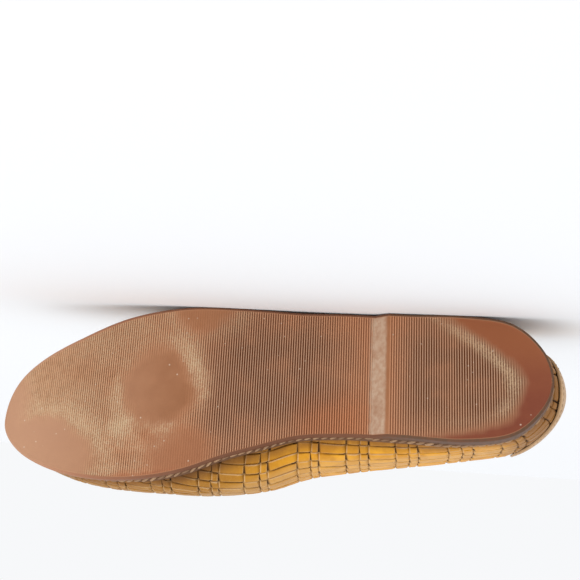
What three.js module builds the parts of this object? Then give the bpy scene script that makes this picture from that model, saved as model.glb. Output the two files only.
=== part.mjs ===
// Woven loafer, left shoe, lying on its outer side.
// Each piece is worked out in the shoe's own frame (millimetres): x runs from the back of the heel to the
// toe, y to the outer side, z up from the tread. One turned group then lays the shoe on its side.
import * as THREE from 'three';

// Driving dimensions of the sole
const SOLE_LENGTH = 256;
const SOLE_THICKNESS = 4;
const TREAD_EDGE_INSET = 1.1;
const TREAD_EDGE_RISE = 0.9;
const HEEL_BLOCK_LENGTH = 71;
const HEEL_BREAST_RUN = 6.6;
const SOLE_STATIONS = 56;
const BREAST_CLEARANCE = 0.4;

// Driving dimensions of the upper, its overlay and its edge
const WALL = 2.2;
const FEATHER_INSET = 2;
const SEAT_GAP = 0.3;
const CROWN_FULLNESS = 2.25;
const HEEL_BACK_BULGE = 7;
const HEEL_BACK_CURVE = 32;
const HEEL_BACK_FADE = 3;
const WALL_LEAN_IN = 1.6;
const COUNTER_THICKNESS = 1.2;
const COUNTER_GAP = 0.5;
const COUNTER_LENGTH = 21;
const COUNTER_FOOT = 6;
const COUNTER_RISE = 32;
const COUNTER_CLIMB = 1.1;
const COUNTER_ROWS = 5;
const COUNTER_MARGIN = 9;
const PIPING_RADIUS = 1.8;
const PIPING_SIDES = 6;
const PIPING_REACH = 1;
const INSOLE_THICKNESS = 2.5;
const INSOLE_GAP = 1.3;

// Driving dimensions of the weave: crosswise strips come as one wide and two narrow ones
const CROSS_STRIPS = [12.2, 3.7, 5.7];
const STRIP_GAP = 0.1;
const LENGTH_STRIP_PITCH = 4.9;
const WEAVE_RELIEF = 0.65;
const STRIP_SHOULDER = 0.45;
const ROW_SNAP = 0.35;
const TOE_TIP_CLEARANCE = 1;
const THROAT_STEP = 0.0005;

// How the shoe lies: the lean brings the sole's edge and the upper's side to the floor together
const LEAN_DEGREES = 8.48;
const NOSE_DEGREES = -2.61;
const LYING_PLACE = new THREE.Vector3(-123.99, -28.81, 26.32);

// Sole stations, one row each, measured from the back of the heel: outer and inner are the tread's
// edges (y), lift is the height of the sole layer's underside above the ground.
const SOLE_TABLE = [
  { x: 0, outer: -1, inner: -1, lift: 4.5 },
  { x: 4.4, outer: 13.2, inner: -13.8, lift: 4.5 },
  { x: 17, outer: 24.6, inner: -24.8, lift: 4.5 },
  { x: 38, outer: 28.4, inner: -27.9, lift: 4.5 },
  { x: 64, outer: 29.4, inner: -26.4, lift: 4.6 },
  { x: 92, outer: 31.2, inner: -25.4, lift: 4.7 },
  { x: 112, outer: 31.6, inner: -26.8, lift: 3.7 },
  { x: 128, outer: 32.7, inner: -31.2, lift: 2.4 },
  { x: 145, outer: 33.6, inner: -36.3, lift: 1 },
  { x: 161, outer: 33.9, inner: -42.2, lift: 0.2 },
  { x: 177, outer: 32.4, inner: -45.7, lift: 0 },
  { x: 192, outer: 29.4, inner: -46.9, lift: 0.5 },
  { x: 218.5, outer: 19.6, inner: -44.4, lift: 3.4 },
  { x: 239, outer: 9.6, inner: -37.4, lift: 7.4 },
  { x: 251.6, outer: -2, inner: -28.3, lift: 10.8 },
  { x: 256, outer: -18.2, inner: -18.2, lift: 12 },
];

// Sections of the last at the same stations. Bulges are how far the wall stands past its foot at its widest
// line, Wide is that line's height, top is the crown's height, topY its y, and rim is the height where the
// wall ends at the collar. Heights start at the wall's foot.
const LAST_TABLE = [
  { x: 0, outerBulge: 0, innerBulge: 0, outerWide: 18, innerWide: 18, top: 88, topY: -1, rim: 52 },
  { x: 4.4, outerBulge: 1.2, innerBulge: 0.8, outerWide: 19, innerWide: 18, top: 87, topY: -1, rim: 51 },
  { x: 17, outerBulge: 2.2, innerBulge: 0.8, outerWide: 21, innerWide: 18, top: 85, topY: -1, rim: 48 },
  { x: 38, outerBulge: 2.6, innerBulge: 2.4, outerWide: 24, innerWide: 19, top: 82, topY: -1, rim: 44 },
  { x: 64, outerBulge: 3.2, innerBulge: 7.6, outerWide: 28, innerWide: 20, top: 78, topY: -1, rim: 40.5 },
  { x: 92, outerBulge: 4.2, innerBulge: 12.4, outerWide: 31, innerWide: 21, top: 72, topY: -2, rim: 41 },
  { x: 112, outerBulge: 5, innerBulge: 14.8, outerWide: 32, innerWide: 21, top: 66.5, topY: -4, rim: 47 },
  { x: 128, outerBulge: 5, innerBulge: 16.4, outerWide: 31, innerWide: 20, top: 61.5, topY: -5.5, rim: 54 },
  { x: 145, outerBulge: 3.8, innerBulge: 14.3, outerWide: 28, innerWide: 19, top: 56, topY: -7, rim: 55.8 },
  { x: 161, outerBulge: 2.2, innerBulge: 9.5, outerWide: 23, innerWide: 17.5, top: 50, topY: -9, rim: 64 },
  { x: 177, outerBulge: 1.6, innerBulge: 5.7, outerWide: 19, innerWide: 15, top: 44.5, topY: -11, rim: 70 },
  { x: 192, outerBulge: 1.4, innerBulge: 4, outerWide: 16, innerWide: 13.5, top: 39.5, topY: -13, rim: 75 },
  { x: 218.5, outerBulge: 1.2, innerBulge: 2.6, outerWide: 12.5, innerWide: 12, top: 32, topY: -16, rim: 80 },
  { x: 239, outerBulge: 1, innerBulge: 1.2, outerWide: 10, innerWide: 10, top: 25, topY: -17.8, rim: 80 },
  { x: 251.6, outerBulge: 0.6, innerBulge: 0.6, outerWide: 6, innerWide: 6, top: 14.5, topY: -18.2, rim: 80 },
  { x: 256, outerBulge: 0, innerBulge: 0, outerWide: 0, innerWide: 0, top: 0, topY: -18.2, rim: 80 },
];

const SIDES = { outer: 1, inner: -1 };
const HALF_LENGTH = SOLE_LENGTH / 2;
const FULL_TURN = Math.PI * 2;

// Stations are spaced by a plan angle: 0 at the back of the heel, pi at the toe tip
const angleOf = (x) => Math.acos(1 - x / HALF_LENGTH);
const STATIONS = SOLE_TABLE.map((row, i) => ({ ...row, ...LAST_TABLE[i], angle: angleOf(row.x) }));

// Smooth value of one column of the table at a plan angle
function station(column, angle) {
  const last = STATIONS.length - 1;
  let i = 0;
  while (i < last - 1 && STATIONS[i + 1].angle < angle) i += 1;
  const value = (k) => STATIONS[k][column];
  const slope = (k) => (value(k + 1) - value(k)) / (STATIONS[k + 1].angle - STATIONS[k].angle);
  const tangent = (k) => {
    if (k === 0) return slope(0);
    if (k === last) return slope(last - 1);
    const before = STATIONS[k].angle - STATIONS[k - 1].angle;
    const after = STATIONS[k + 1].angle - STATIONS[k].angle;
    return (slope(k - 1) * after + slope(k) * before) / (before + after);
  };
  const run = STATIONS[i + 1].angle - STATIONS[i].angle;
  const t = (angle - STATIONS[i].angle) / run;
  const ease = t * t * (3 - 2 * t);
  const lead = t * (1 - t) * (1 - t) * run * tangent(i);
  const trail = t * t * (t - 1) * run * tangent(i + 1);
  return value(i) * (1 - ease) + value(i + 1) * ease + lead + trail;
}

// Plan outline of the tread, drawn in by a depth
const outlineX = (angle, depth) => depth + (HALF_LENGTH - depth) * (1 - Math.cos(angle));
const sideShare = (angle) => Math.min(1, WALL_LEAN_IN * Math.sin(angle));
const outlineY = (side, angle, depth) => station(side, angle) - SIDES[side] * depth * sideShare(angle);

// Heights of the sole along its length
const liftAt = (x) => station('lift', angleOf(THREE.MathUtils.clamp(x, 0, SOLE_LENGTH)));
const soleTop = (x) => liftAt(x) + SOLE_THICKNESS;
function treadHeight(x) {
  const slope = THREE.MathUtils.clamp((x - HEEL_BLOCK_LENGTH) / HEEL_BREAST_RUN, 0, 1);
  return liftAt(x) * slope;
}

// A closed surface gathered from quads, with shared corners merged and empty triangles left out
class Shell {
  constructor() {
    this.points = [];
    this.faces = [];
    this.known = new Map();
  }

  corner(point) {
    const key = point.toArray().map((v) => Math.round(v * 1e4)).join(' ');
    if (!this.known.has(key)) {
      this.known.set(key, this.points.length);
      this.points.push(point);
    }
    return this.known.get(key);
  }

  triangle(a, b, c) {
    if (a !== b && b !== c && c !== a) this.faces.push(a, b, c);
  }

  quad(a, b, c, d, flip = false) {
    const [i, j, k, l] = [a, b, c, d].map((point) => this.corner(point));
    if (flip) {
      this.triangle(i, k, j);
      this.triangle(i, l, k);
    } else {
      this.triangle(i, j, k);
      this.triangle(i, k, l);
    }
  }

  // Quads between two rows of points of equal length
  band(first, second, flip = false) {
    for (let i = 0; i + 1 < first.length; i += 1) {
      this.quad(first[i], first[i + 1], second[i + 1], second[i], flip);
    }
  }

  geometry() {
    const geometry = new THREE.BufferGeometry();
    const positions = this.points.flatMap((point) => point.toArray());
    geometry.setAttribute('position', new THREE.Float32BufferAttribute(positions, 3));
    geometry.setIndex(this.faces);
    geometry.computeVertexNormals();
    return geometry;
  }
}

// A flat-topped plate that follows the sole: rings of points, each at a depth inside the outline and a height
function plate(rings, angles) {
  const shell = new Shell();
  const edge = (side, ring) => angles.map((angle) => {
    const x = outlineX(angle, ring.depth);
    return new THREE.Vector3(x, outlineY(side, angle, ring.depth), ring.height(x));
  });
  const outer = rings.map((ring) => edge('outer', ring));
  const inner = rings.map((ring) => edge('inner', ring));
  for (let i = 0; i + 1 < rings.length; i += 1) {
    shell.band(outer[i], outer[i + 1], true);
    shell.band(inner[i], inner[i + 1], false);
  }
  shell.band(outer[0], inner[0], false);
  shell.band(outer.at(-1), inner.at(-1), true);
  return shell.geometry();
}

// Plan angles of the sole's stations, with two at the heel breast so that its slope keeps its edges
function soleAngles() {
  const angles = [];
  for (let i = 0; i <= SOLE_STATIONS; i += 1) angles.push((i / SOLE_STATIONS) * Math.PI);
  const breast = [HEEL_BLOCK_LENGTH, HEEL_BLOCK_LENGTH + HEEL_BREAST_RUN].map(angleOf);
  const spacing = BREAST_CLEARANCE * Math.PI / SOLE_STATIONS;
  const clear = angles.filter((angle) => breast.every((edge) => Math.abs(angle - edge) > spacing));
  return [...clear, ...breast].sort((a, b) => a - b);
}

function outsoleGeometry() {
  return plate([
    { depth: TREAD_EDGE_INSET, height: treadHeight },
    { depth: 0, height: (x) => treadHeight(x) + TREAD_EDGE_RISE },
    { depth: 0, height: soleTop },
  ], soleAngles());
}

function insoleGeometry() {
  const depth = FEATHER_INSET + WALL + INSOLE_GAP;
  return plate([
    { depth, height: (x) => soleTop(x) + SEAT_GAP },
    { depth, height: (x) => soleTop(x) + SEAT_GAP + INSOLE_THICKNESS },
  ], soleAngles());
}

// Half section of the last at a plan angle, from the crown down to the wall's foot,
// as points with their run along the section; depth is measured inwards from the outer face
const SECTION_STEPS = 20;
function halfSection(side, angle, depth) {
  const sign = SIDES[side];
  const share = sideShare(angle);
  const x = outlineX(angle, FEATHER_INSET + depth);
  const footY = outlineY(side, angle, FEATHER_INSET + depth);
  const footZ = soleTop(x) + SEAT_GAP;
  const bulge = station(`${side}Bulge`, angle);
  const wideY = footY + sign * bulge;
  const widest = station(`${side}Wide`, angle);
  const crown = Math.max(station('top', angle) - depth * share, widest);
  const crownY = station('topY', angle);
  const backShare = Math.max(0, Math.cos(angle)) ** HEEL_BACK_FADE;
  const back = (height) => {
    const below = height < widest ? Math.sin((height / widest) * Math.PI / 2) : 1;
    const above = Math.cos(Math.max(height - widest, 0) / HEEL_BACK_CURVE);
    return HEEL_BACK_BULGE * backShare * below * above;
  };
  const place = (y, height) => new THREE.Vector3(x - back(height), y, footZ + height);
  const points = [];
  for (let i = 0; i <= SECTION_STEPS; i += 1) {
    const a = (1 - i / SECTION_STEPS) * Math.PI / 2;
    const across = Math.max(0, Math.cos(a)) ** (2 / CROWN_FULLNESS);
    const rise = Math.sin(a) ** (2 / CROWN_FULLNESS);
    points.push(place(crownY + (wideY - crownY) * across, widest + (crown - widest) * rise));
  }
  for (let i = 1; i <= SECTION_STEPS; i += 1) {
    const a = (1 - i / SECTION_STEPS) * Math.PI / 2;
    points.push(place(footY + (wideY - footY) * Math.sin(a), widest * (1 - Math.cos(a))));
  }
  const runs = [0];
  for (let i = 1; i < points.length; i += 1) {
    runs.push(runs[i - 1] + points[i].distanceTo(points[i - 1]));
  }
  return { points, runs, length: runs.at(-1), footZ };
}

function pointAtRun(section, run) {
  let i = 0;
  while (i < section.runs.length - 2 && section.runs[i + 1] < run) i += 1;
  const span = section.runs[i + 1] - section.runs[i];
  const t = span > 0 ? THREE.MathUtils.clamp((run - section.runs[i]) / span, 0, 1) : 0;
  return section.points[i].clone().lerp(section.points[i + 1], t);
}

// Run along the section where the wall first falls to a height above its foot
function runAtHeight(section, height) {
  for (let i = 0; i + 1 < section.points.length; i += 1) {
    const low = section.points[i + 1].z - section.footZ;
    if (low <= height) {
      const high = section.points[i].z - section.footZ;
      const t = high > low ? THREE.MathUtils.clamp((high - height) / (high - low), 0, 1) : 0;
      return THREE.MathUtils.lerp(section.runs[i], section.runs[i + 1], t);
    }
  }
  return section.length;
}

// Run of the weave along the shoe: round the heel it follows the outline, over the toe the crown line
const WEAVE_SAMPLES = 720;
const HEEL_TURN = [30, 60];
const TOE_TURN = [190, 225];
function weaveRuns() {
  const table = [{ angle: 0, run: 0 }];
  const place = (angle) => {
    const x = outlineX(angle, FEATHER_INSET);
    const toe = THREE.MathUtils.smoothstep(x, ...TOE_TURN);
    const heel = 1 - THREE.MathUtils.smoothstep(x, ...HEEL_TURN);
    return { x, toe, heel, wide: station('outer', angle), crown: station('top', angle) };
  };
  let before = place(0);
  for (let i = 1; i <= WEAVE_SAMPLES; i += 1) {
    const angle = (i / WEAVE_SAMPLES) * Math.PI;
    const now = place(angle);
    const round = now.heel * (now.wide - before.wide);
    const over = now.toe * (now.crown - before.crown);
    table.push({ angle, run: table.at(-1).run + Math.hypot(now.x - before.x, round, over) });
    before = now;
  }
  return table;
}

function angleAtRun(table, run) {
  const i = Math.max(1, table.findIndex((entry) => entry.run >= run));
  const t = (run - table[i - 1].run) / (table[i].run - table[i - 1].run);
  return THREE.MathUtils.lerp(table[i - 1].angle, table[i].angle, t);
}

// The throat is where the collar's line meets the crown
function throatAngle() {
  let angle = Math.PI / 2;
  while (station('rim', angle) < station('top', angle)) angle += THROAT_STEP;
  return angle;
}

// Columns of the weave from the back of the heel to the toe: two for each crosswise strip
function weaveColumns() {
  const table = weaveRuns();
  const total = table.at(-1).run;
  const throat = throatAngle();
  const columns = [{ angle: 0, strip: 0 }];
  let middle = 0;
  let strip = 0;
  while (middle < total) {
    const width = CROSS_STRIPS[strip % CROSS_STRIPS.length];
    for (const shoulder of [-STRIP_SHOULDER, STRIP_SHOULDER]) {
      const run = middle + shoulder * width;
      if (run > 0 && run < total - TOE_TIP_CLEARANCE) columns.push({ angle: angleAtRun(table, run), strip });
    }
    const next = CROSS_STRIPS[(strip + 1) % CROSS_STRIPS.length];
    middle += (width + next) / 2 + STRIP_GAP;
    strip += 1;
  }
  columns.push({ angle: Math.PI, strip });
  const nearest = columns.reduce((a, b) => (Math.abs(b.angle - throat) < Math.abs(a.angle - throat) ? b : a));
  nearest.angle = throat;
  return { columns, throat };
}

const { columns: WEAVE_COLUMNS, throat: THROAT } = weaveColumns();

// Top of the wall at a column: the collar behind the throat, the crown in front of it
function topRun(section, angle) {
  return angle >= THROAT ? 0 : runAtHeight(section, station('rim', angle));
}

// Runs of a column's rows between its top and its foot, on the common pitch of the lengthwise strips
function rowRuns(top, foot, count, every) {
  const snap = ROW_SNAP * LENGTH_STRIP_PITCH * every;
  const runs = [];
  for (let j = 0; j <= count; j += every) {
    const run = j * LENGTH_STRIP_PITCH;
    if (run < top + snap && run > 0) runs.push(run >= foot - snap ? foot : top);
    else if (run >= foot - snap) runs.push(foot);
    else runs.push(Math.max(run, top));
  }
  runs[runs.length - 1] = foot;
  return runs;
}

const ROW_COUNT = 24;
const INNER_ROW_STEP = 3;

// Height of the heel counter's lower edge above the wall's foot: it climbs forwards to the collar
function counterFoot(angle) {
  const share = outlineX(angle, FEATHER_INSET) / COUNTER_LENGTH;
  return COUNTER_FOOT + COUNTER_RISE * share ** COUNTER_CLIMB;
}

// Run down to which the wall is plain at a column, under the counter and close around it
function coveredRun(section, angle) {
  if (outlineX(angle, FEATHER_INSET) > COUNTER_LENGTH + COUNTER_MARGIN) return 0;
  return runAtHeight(section, Math.max(counterFoot(angle) - COUNTER_MARGIN, 0));
}

// Outer face of the wall at a column: strips stand up and dive under by turns
function wovenRow(side, column) {
  const section = halfSection(side, column.angle, 0);
  const raised = halfSection(side, column.angle, -WEAVE_RELIEF);
  const sunken = halfSection(side, column.angle, WEAVE_RELIEF);
  const top = topRun(section, column.angle);
  const closed = column.angle >= THROAT;
  const covered = coveredRun(section, column.angle);
  return rowRuns(top, section.length, ROW_COUNT, 1).map((run, j) => {
    const edge = run === section.length || (run === top && !closed) || column.angle === Math.PI;
    if (edge || run < covered || column.angle === THROAT) return pointAtRun(section, run);
    const other = (column.strip + j) % 2 === 0 ? raised : sunken;
    return pointAtRun(other, run * other.length / section.length);
  });
}

function plainRow(side, angle, depth, every) {
  const section = halfSection(side, angle, depth);
  const outer = halfSection(side, angle, 0);
  const top = topRun(outer, angle) * section.length / outer.length;
  return rowRuns(top, section.length, ROW_COUNT, every).map((run) => pointAtRun(section, run));
}

function upperGeometry() {
  const shell = new Shell();
  for (const side of Object.keys(SIDES)) {
    const flip = side === 'outer';
    const outside = WEAVE_COLUMNS.map((column) => wovenRow(side, column));
    const inside = WEAVE_COLUMNS.map((column) => plainRow(side, column.angle, WALL, INNER_ROW_STEP));
    for (let i = 0; i + 1 < WEAVE_COLUMNS.length; i += 1) {
      shell.band(outside[i], outside[i + 1], flip);
      shell.band(inside[i], inside[i + 1], !flip);
      const foot = [outside[i].at(-1), inside[i].at(-1)];
      const nextFoot = [outside[i + 1].at(-1), inside[i + 1].at(-1)];
      shell.band(foot, nextFoot, flip);
      if (WEAVE_COLUMNS[i + 1].angle <= THROAT) {
        const rim = [inside[i][0], outside[i][0]];
        const nextRim = [inside[i + 1][0], outside[i + 1][0]];
        shell.band(rim, nextRim, flip);
      }
    }
  }
  return shell.geometry();
}

// Smooth overlay round the back of the heel
function counterRow(side, angle, depth) {
  const wall = halfSection(side, angle, 0);
  const section = halfSection(side, angle, depth);
  const top = (topRun(wall, angle) + COUNTER_GAP) * section.length / wall.length;
  const foot = runAtHeight(section, counterFoot(angle));
  const row = [];
  for (let i = 0; i <= COUNTER_ROWS; i += 1) {
    row.push(pointAtRun(section, THREE.MathUtils.lerp(top, foot, i / COUNTER_ROWS)));
  }
  return row;
}

function counterGeometry() {
  const shell = new Shell();
  const angles = WEAVE_COLUMNS.map((column) => column.angle);
  const covered = angles.filter((angle) => outlineX(angle, FEATHER_INSET) < COUNTER_LENGTH);
  for (const side of Object.keys(SIDES)) {
    const flip = side === 'outer';
    const outside = covered.map((angle) => counterRow(side, angle, -COUNTER_GAP - COUNTER_THICKNESS));
    const inside = covered.map((angle) => counterRow(side, angle, -COUNTER_GAP));
    for (let i = 0; i + 1 < covered.length; i += 1) {
      shell.band(outside[i], outside[i + 1], flip);
      shell.band(inside[i], inside[i + 1], !flip);
      const foot = [outside[i].at(-1), inside[i].at(-1)];
      const nextFoot = [outside[i + 1].at(-1), inside[i + 1].at(-1)];
      shell.band(foot, nextFoot, flip);
      const rim = [inside[i][0], outside[i][0]];
      const nextRim = [inside[i + 1][0], outside[i + 1][0]];
      shell.band(rim, nextRim, flip);
    }
    shell.band(outside.at(-1), inside.at(-1), flip);
  }
  return shell.geometry();
}

// Rim of the wall round the opening, from the heel along the outer side to the throat and back
function collarRim() {
  const angles = WEAVE_COLUMNS.map((column) => column.angle).filter((angle) => angle <= THROAT);
  const rim = (side) => angles.map((angle) => {
    const outside = plainRow(side, angle, 0, 1);
    const inside = plainRow(side, angle, WALL, 1);
    const below = outside.find((point) => point.distanceTo(outside[0]) > PIPING_REACH);
    return { outside: outside[0], inside: inside[0], below };
  });
  return [...rim('outer'), ...rim('inner').slice(1, -1).reverse()];
}

function pipingGeometry() {
  const rim = collarRim();
  const middles = rim.map((entry) => entry.outside.clone().lerp(entry.inside, 0.5));
  const rings = rim.map((entry, i) => {
    const ahead = middles[(i + 1) % rim.length];
    const behind = middles[(i + rim.length - 1) % rim.length];
    const along = ahead.clone().sub(behind).normalize();
    const outwards = entry.outside.clone().sub(entry.inside);
    outwards.addScaledVector(along, -outwards.dot(along)).normalize();
    const upwards = along.clone().cross(outwards);
    if (upwards.dot(entry.outside.clone().sub(entry.below)) < 0) upwards.negate();
    const middle = middles[i].clone().addScaledVector(upwards, SEAT_GAP + PIPING_RADIUS);
    const ring = [];
    for (let k = 0; k <= PIPING_SIDES; k += 1) {
      const turn = (k % PIPING_SIDES) / PIPING_SIDES * FULL_TURN;
      const point = middle.clone().addScaledVector(outwards, PIPING_RADIUS * Math.cos(turn));
      ring.push(point.addScaledVector(upwards, PIPING_RADIUS * Math.sin(turn)));
    }
    return ring;
  });
  const shell = new Shell();
  rings.forEach((ring, i) => shell.band(ring, rings[(i + 1) % rings.length]));
  return shell.geometry();
}

const root = new THREE.Group();
const shoe = new THREE.Group();
root.add(shoe);

function addPiece(name, geometry, color, roughness) {
  const material = new THREE.MeshStandardMaterial({ color, roughness, metalness: 0 });
  const mesh = new THREE.Mesh(geometry, material);
  mesh.name = name;
  shoe.add(mesh);
}

addPiece('outsole', outsoleGeometry(), 0x9a6248, 0.62);
addPiece('insole', insoleGeometry(), 0xc2a27a, 0.7);
addPiece('upper', upperGeometry(), 0xd79c3a, 0.48);
addPiece('heel_counter', counterGeometry(), 0xb58f66, 0.55);
addPiece('collar_piping', pipingGeometry(), 0xb58f66, 0.55);

const lean = THREE.MathUtils.degToRad(LEAN_DEGREES - 90);
const nose = THREE.MathUtils.degToRad(NOSE_DEGREES);
shoe.rotation.set(lean, nose, 0, 'YXZ');
shoe.position.copy(LYING_PLACE);

export default root;
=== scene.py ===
"""Woven loafer, left shoe, lying on its outer side: the looks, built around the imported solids.

Shapes are worked out in the shoe's own frame, in millimetres: x runs from the back of the heel to the toe,
y to the outer side, z up from the tread. lay_down() carries them into the frame's metres.
"""

import math

import bpy
import numpy as np
from mathutils import Matrix, Vector, noise


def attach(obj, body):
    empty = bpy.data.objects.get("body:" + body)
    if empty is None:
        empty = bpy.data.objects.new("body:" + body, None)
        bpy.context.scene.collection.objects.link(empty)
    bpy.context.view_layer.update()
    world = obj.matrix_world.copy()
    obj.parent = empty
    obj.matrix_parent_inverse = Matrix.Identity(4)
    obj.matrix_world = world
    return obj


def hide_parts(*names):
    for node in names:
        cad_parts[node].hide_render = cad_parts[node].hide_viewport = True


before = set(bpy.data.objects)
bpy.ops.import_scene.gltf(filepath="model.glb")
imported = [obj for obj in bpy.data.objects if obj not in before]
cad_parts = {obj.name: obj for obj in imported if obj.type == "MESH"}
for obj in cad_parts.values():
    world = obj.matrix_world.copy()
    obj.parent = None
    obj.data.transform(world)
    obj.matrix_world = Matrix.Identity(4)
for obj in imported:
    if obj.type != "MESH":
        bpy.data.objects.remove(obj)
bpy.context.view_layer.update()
bpy.ops.object.select_all(action="DESELECT")
luck = np.random.default_rng(38)

# Sizes of the shoe, as in the solids
MM = 0.001
TINY = 1e-12
SOLE_LENGTH = 256
HALF_LENGTH = SOLE_LENGTH / 2
SOLE_THICKNESS = 4
TREAD_EDGE_INSET = 1.1
TREAD_EDGE_RISE = 0.9
HEEL_BLOCK_LENGTH = 71
HEEL_BREAST_RUN = 6.6
WALL = 2.2
FEATHER_INSET = 2
SEAT_GAP = 0.3
CROWN_FULLNESS = 2.25
HEEL_BACK_BULGE = 7
HEEL_BACK_CURVE = 32
HEEL_BACK_FADE = 3
WALL_LEAN_IN = 1.6
COUNTER_THICKNESS = 1.2
COUNTER_GAP = 0.5
COUNTER_LENGTH = 21
COUNTER_FOOT = 6
COUNTER_RISE = 32
COUNTER_CLIMB = 1.1
PIPING_RADIUS = 1.8
INSOLE_THICKNESS = 2.5
INSOLE_GAP = 1.3
CROSS_STRIPS = (12.2, 3.7, 5.7)
STRIP_GAP = 0.1
LENGTH_STRIP_PITCH = 4.9

# How the shoe lies on the floor
LEAN = math.radians(8.48 - 90)
NOSE = math.radians(-2.61)
LYING_PLACE = np.array((-123.99, -28.81, 26.32))
LAY = np.array(Matrix.Rotation(NOSE, 3, "Y") @ Matrix.Rotation(LEAN, 3, "X"))

# Sections of the last, one row each. outer and inner are the tread's edges, lift the height of the sole
# layer's underside; bulges are how far the wall stands past its foot at its widest line, wide is that
# line's height, top and top_y the crown, rim the height where the wall ends at the collar.
COLUMNS = ("x", "outer", "inner", "lift", "outer_bulge", "inner_bulge", "outer_wide", "inner_wide",
           "top", "top_y", "rim")
LAST = np.array((
    (0, -1, -1, 4.5, 0, 0, 18, 18, 88, -1, 52),
    (4.4, 13.2, -13.8, 4.5, 1.2, 0.8, 19, 18, 87, -1, 51),
    (17, 24.6, -24.8, 4.5, 2.2, 0.8, 21, 18, 85, -1, 48),
    (38, 28.4, -27.9, 4.5, 2.6, 2.4, 24, 19, 82, -1, 44),
    (64, 29.4, -26.4, 4.6, 3.2, 7.6, 28, 20, 78, -1, 40.5),
    (92, 31.2, -25.4, 4.7, 4.2, 12.4, 31, 21, 72, -2, 41),
    (112, 31.6, -26.8, 3.7, 5, 14.8, 32, 21, 66.5, -4, 47),
    (128, 32.7, -31.2, 2.4, 5, 16.4, 31, 20, 61.5, -5.5, 54),
    (145, 33.6, -36.3, 1, 3.8, 14.3, 28, 19, 56, -7, 55.8),
    (161, 33.9, -42.2, 0.2, 2.2, 9.5, 23, 17.5, 50, -9, 64),
    (177, 32.4, -45.7, 0, 1.6, 5.7, 19, 15, 44.5, -11, 70),
    (192, 29.4, -46.9, 0.5, 1.4, 4, 16, 13.5, 39.5, -13, 75),
    (218.5, 19.6, -44.4, 3.4, 1.2, 2.6, 12.5, 12, 32, -16, 80),
    (239, 9.6, -37.4, 7.4, 1, 1.2, 10, 10, 25, -17.8, 80),
    (251.6, -2, -28.3, 10.8, 0.6, 0.6, 6, 6, 14.5, -18.2, 80),
    (256, -18.2, -18.2, 12, 0, 0, 0, 0, 0, -18.2, 80),
))


def lay_down(points):
    """Points of the shoe's own frame, in millimetres, to the frame's metres"""
    return (np.asarray(points, float) @ LAY.T + LYING_PLACE) * MM


def smooth(low, high, value):
    """0 below low, 1 above high, eased between them"""
    share = np.clip((value - low) / (high - low), 0, 1)
    return share * share * (3 - 2 * share)


def matched(*values):
    """The values as float arrays of one shape"""
    return [np.asarray(value, float) for value in np.broadcast_arrays(*values)]


def matched_rows(*values):
    """The values as flat float arrays of one length"""
    return [value.ravel() for value in matched(*values)]


def unit(vectors):
    return vectors / np.linalg.norm(vectors, axis=-1, keepdims=True)


def square_to(vectors, along):
    """Unit vectors, turned square to the unit vectors along"""
    return unit(vectors - along * (vectors * along).sum(axis=-1, keepdims=True))


def plan_angle(x):
    """Plan angle of a station: 0 at the back of the heel, pi at the toe tip"""
    return np.arccos(1 - np.clip(x, 0, SOLE_LENGTH) / HALF_LENGTH)


def station(column, angle):
    """Smooth value of one column of the last's table at plan angles"""
    values = LAST[:, COLUMNS.index(column)]
    knots = plan_angle(LAST[:, 0])
    gaps = np.diff(knots)
    slopes = np.diff(values) / gaps
    tangents = np.concatenate((slopes[:1], slopes, slopes[-1:]))[:-1]
    tangents[1:-1] = (slopes[:-1] * gaps[1:] + slopes[1:] * gaps[:-1]) / (gaps[:-1] + gaps[1:])
    tangents[-1] = slopes[-1]
    i = np.clip(np.searchsorted(knots, angle) - 1, 0, len(gaps) - 1)
    t = (angle - knots[i]) / gaps[i]
    ease = t * t * (3 - 2 * t)
    lead = t * (1 - t) ** 2 * gaps[i] * tangents[i]
    trail = t * t * (t - 1) * gaps[i] * tangents[i + 1]
    return values[i] * (1 - ease) + values[i + 1] * ease + lead + trail


def side_station(ending, sign, angle):
    """Value of an outer column where sign is positive, of its inner one where it is negative"""
    return np.where(sign > 0, station("outer" + ending, angle), station("inner" + ending, angle))


def side_share(angle):
    return np.minimum(1, WALL_LEAN_IN * np.sin(angle))


def outline_x(angle, depth):
    return depth + (HALF_LENGTH - depth) * (1 - np.cos(angle))


def outline_y(sign, angle, depth):
    """Edge of the tread on one side, drawn in by a depth"""
    return side_station("", sign, angle) - sign * depth * side_share(angle)


def lift_at(x):
    return station("lift", plan_angle(x))


def sole_top(x):
    return lift_at(x) + SOLE_THICKNESS


def tread_height(x):
    return lift_at(x) * np.clip((x - HEEL_BLOCK_LENGTH) / HEEL_BREAST_RUN, 0, 1)


# The wall of the upper as a surface
SECTION_STEPS = 20
SURFACE_STEP = 0.25
ANGLE_STEP = 0.004
THROAT_SAMPLES = 4000


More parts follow.
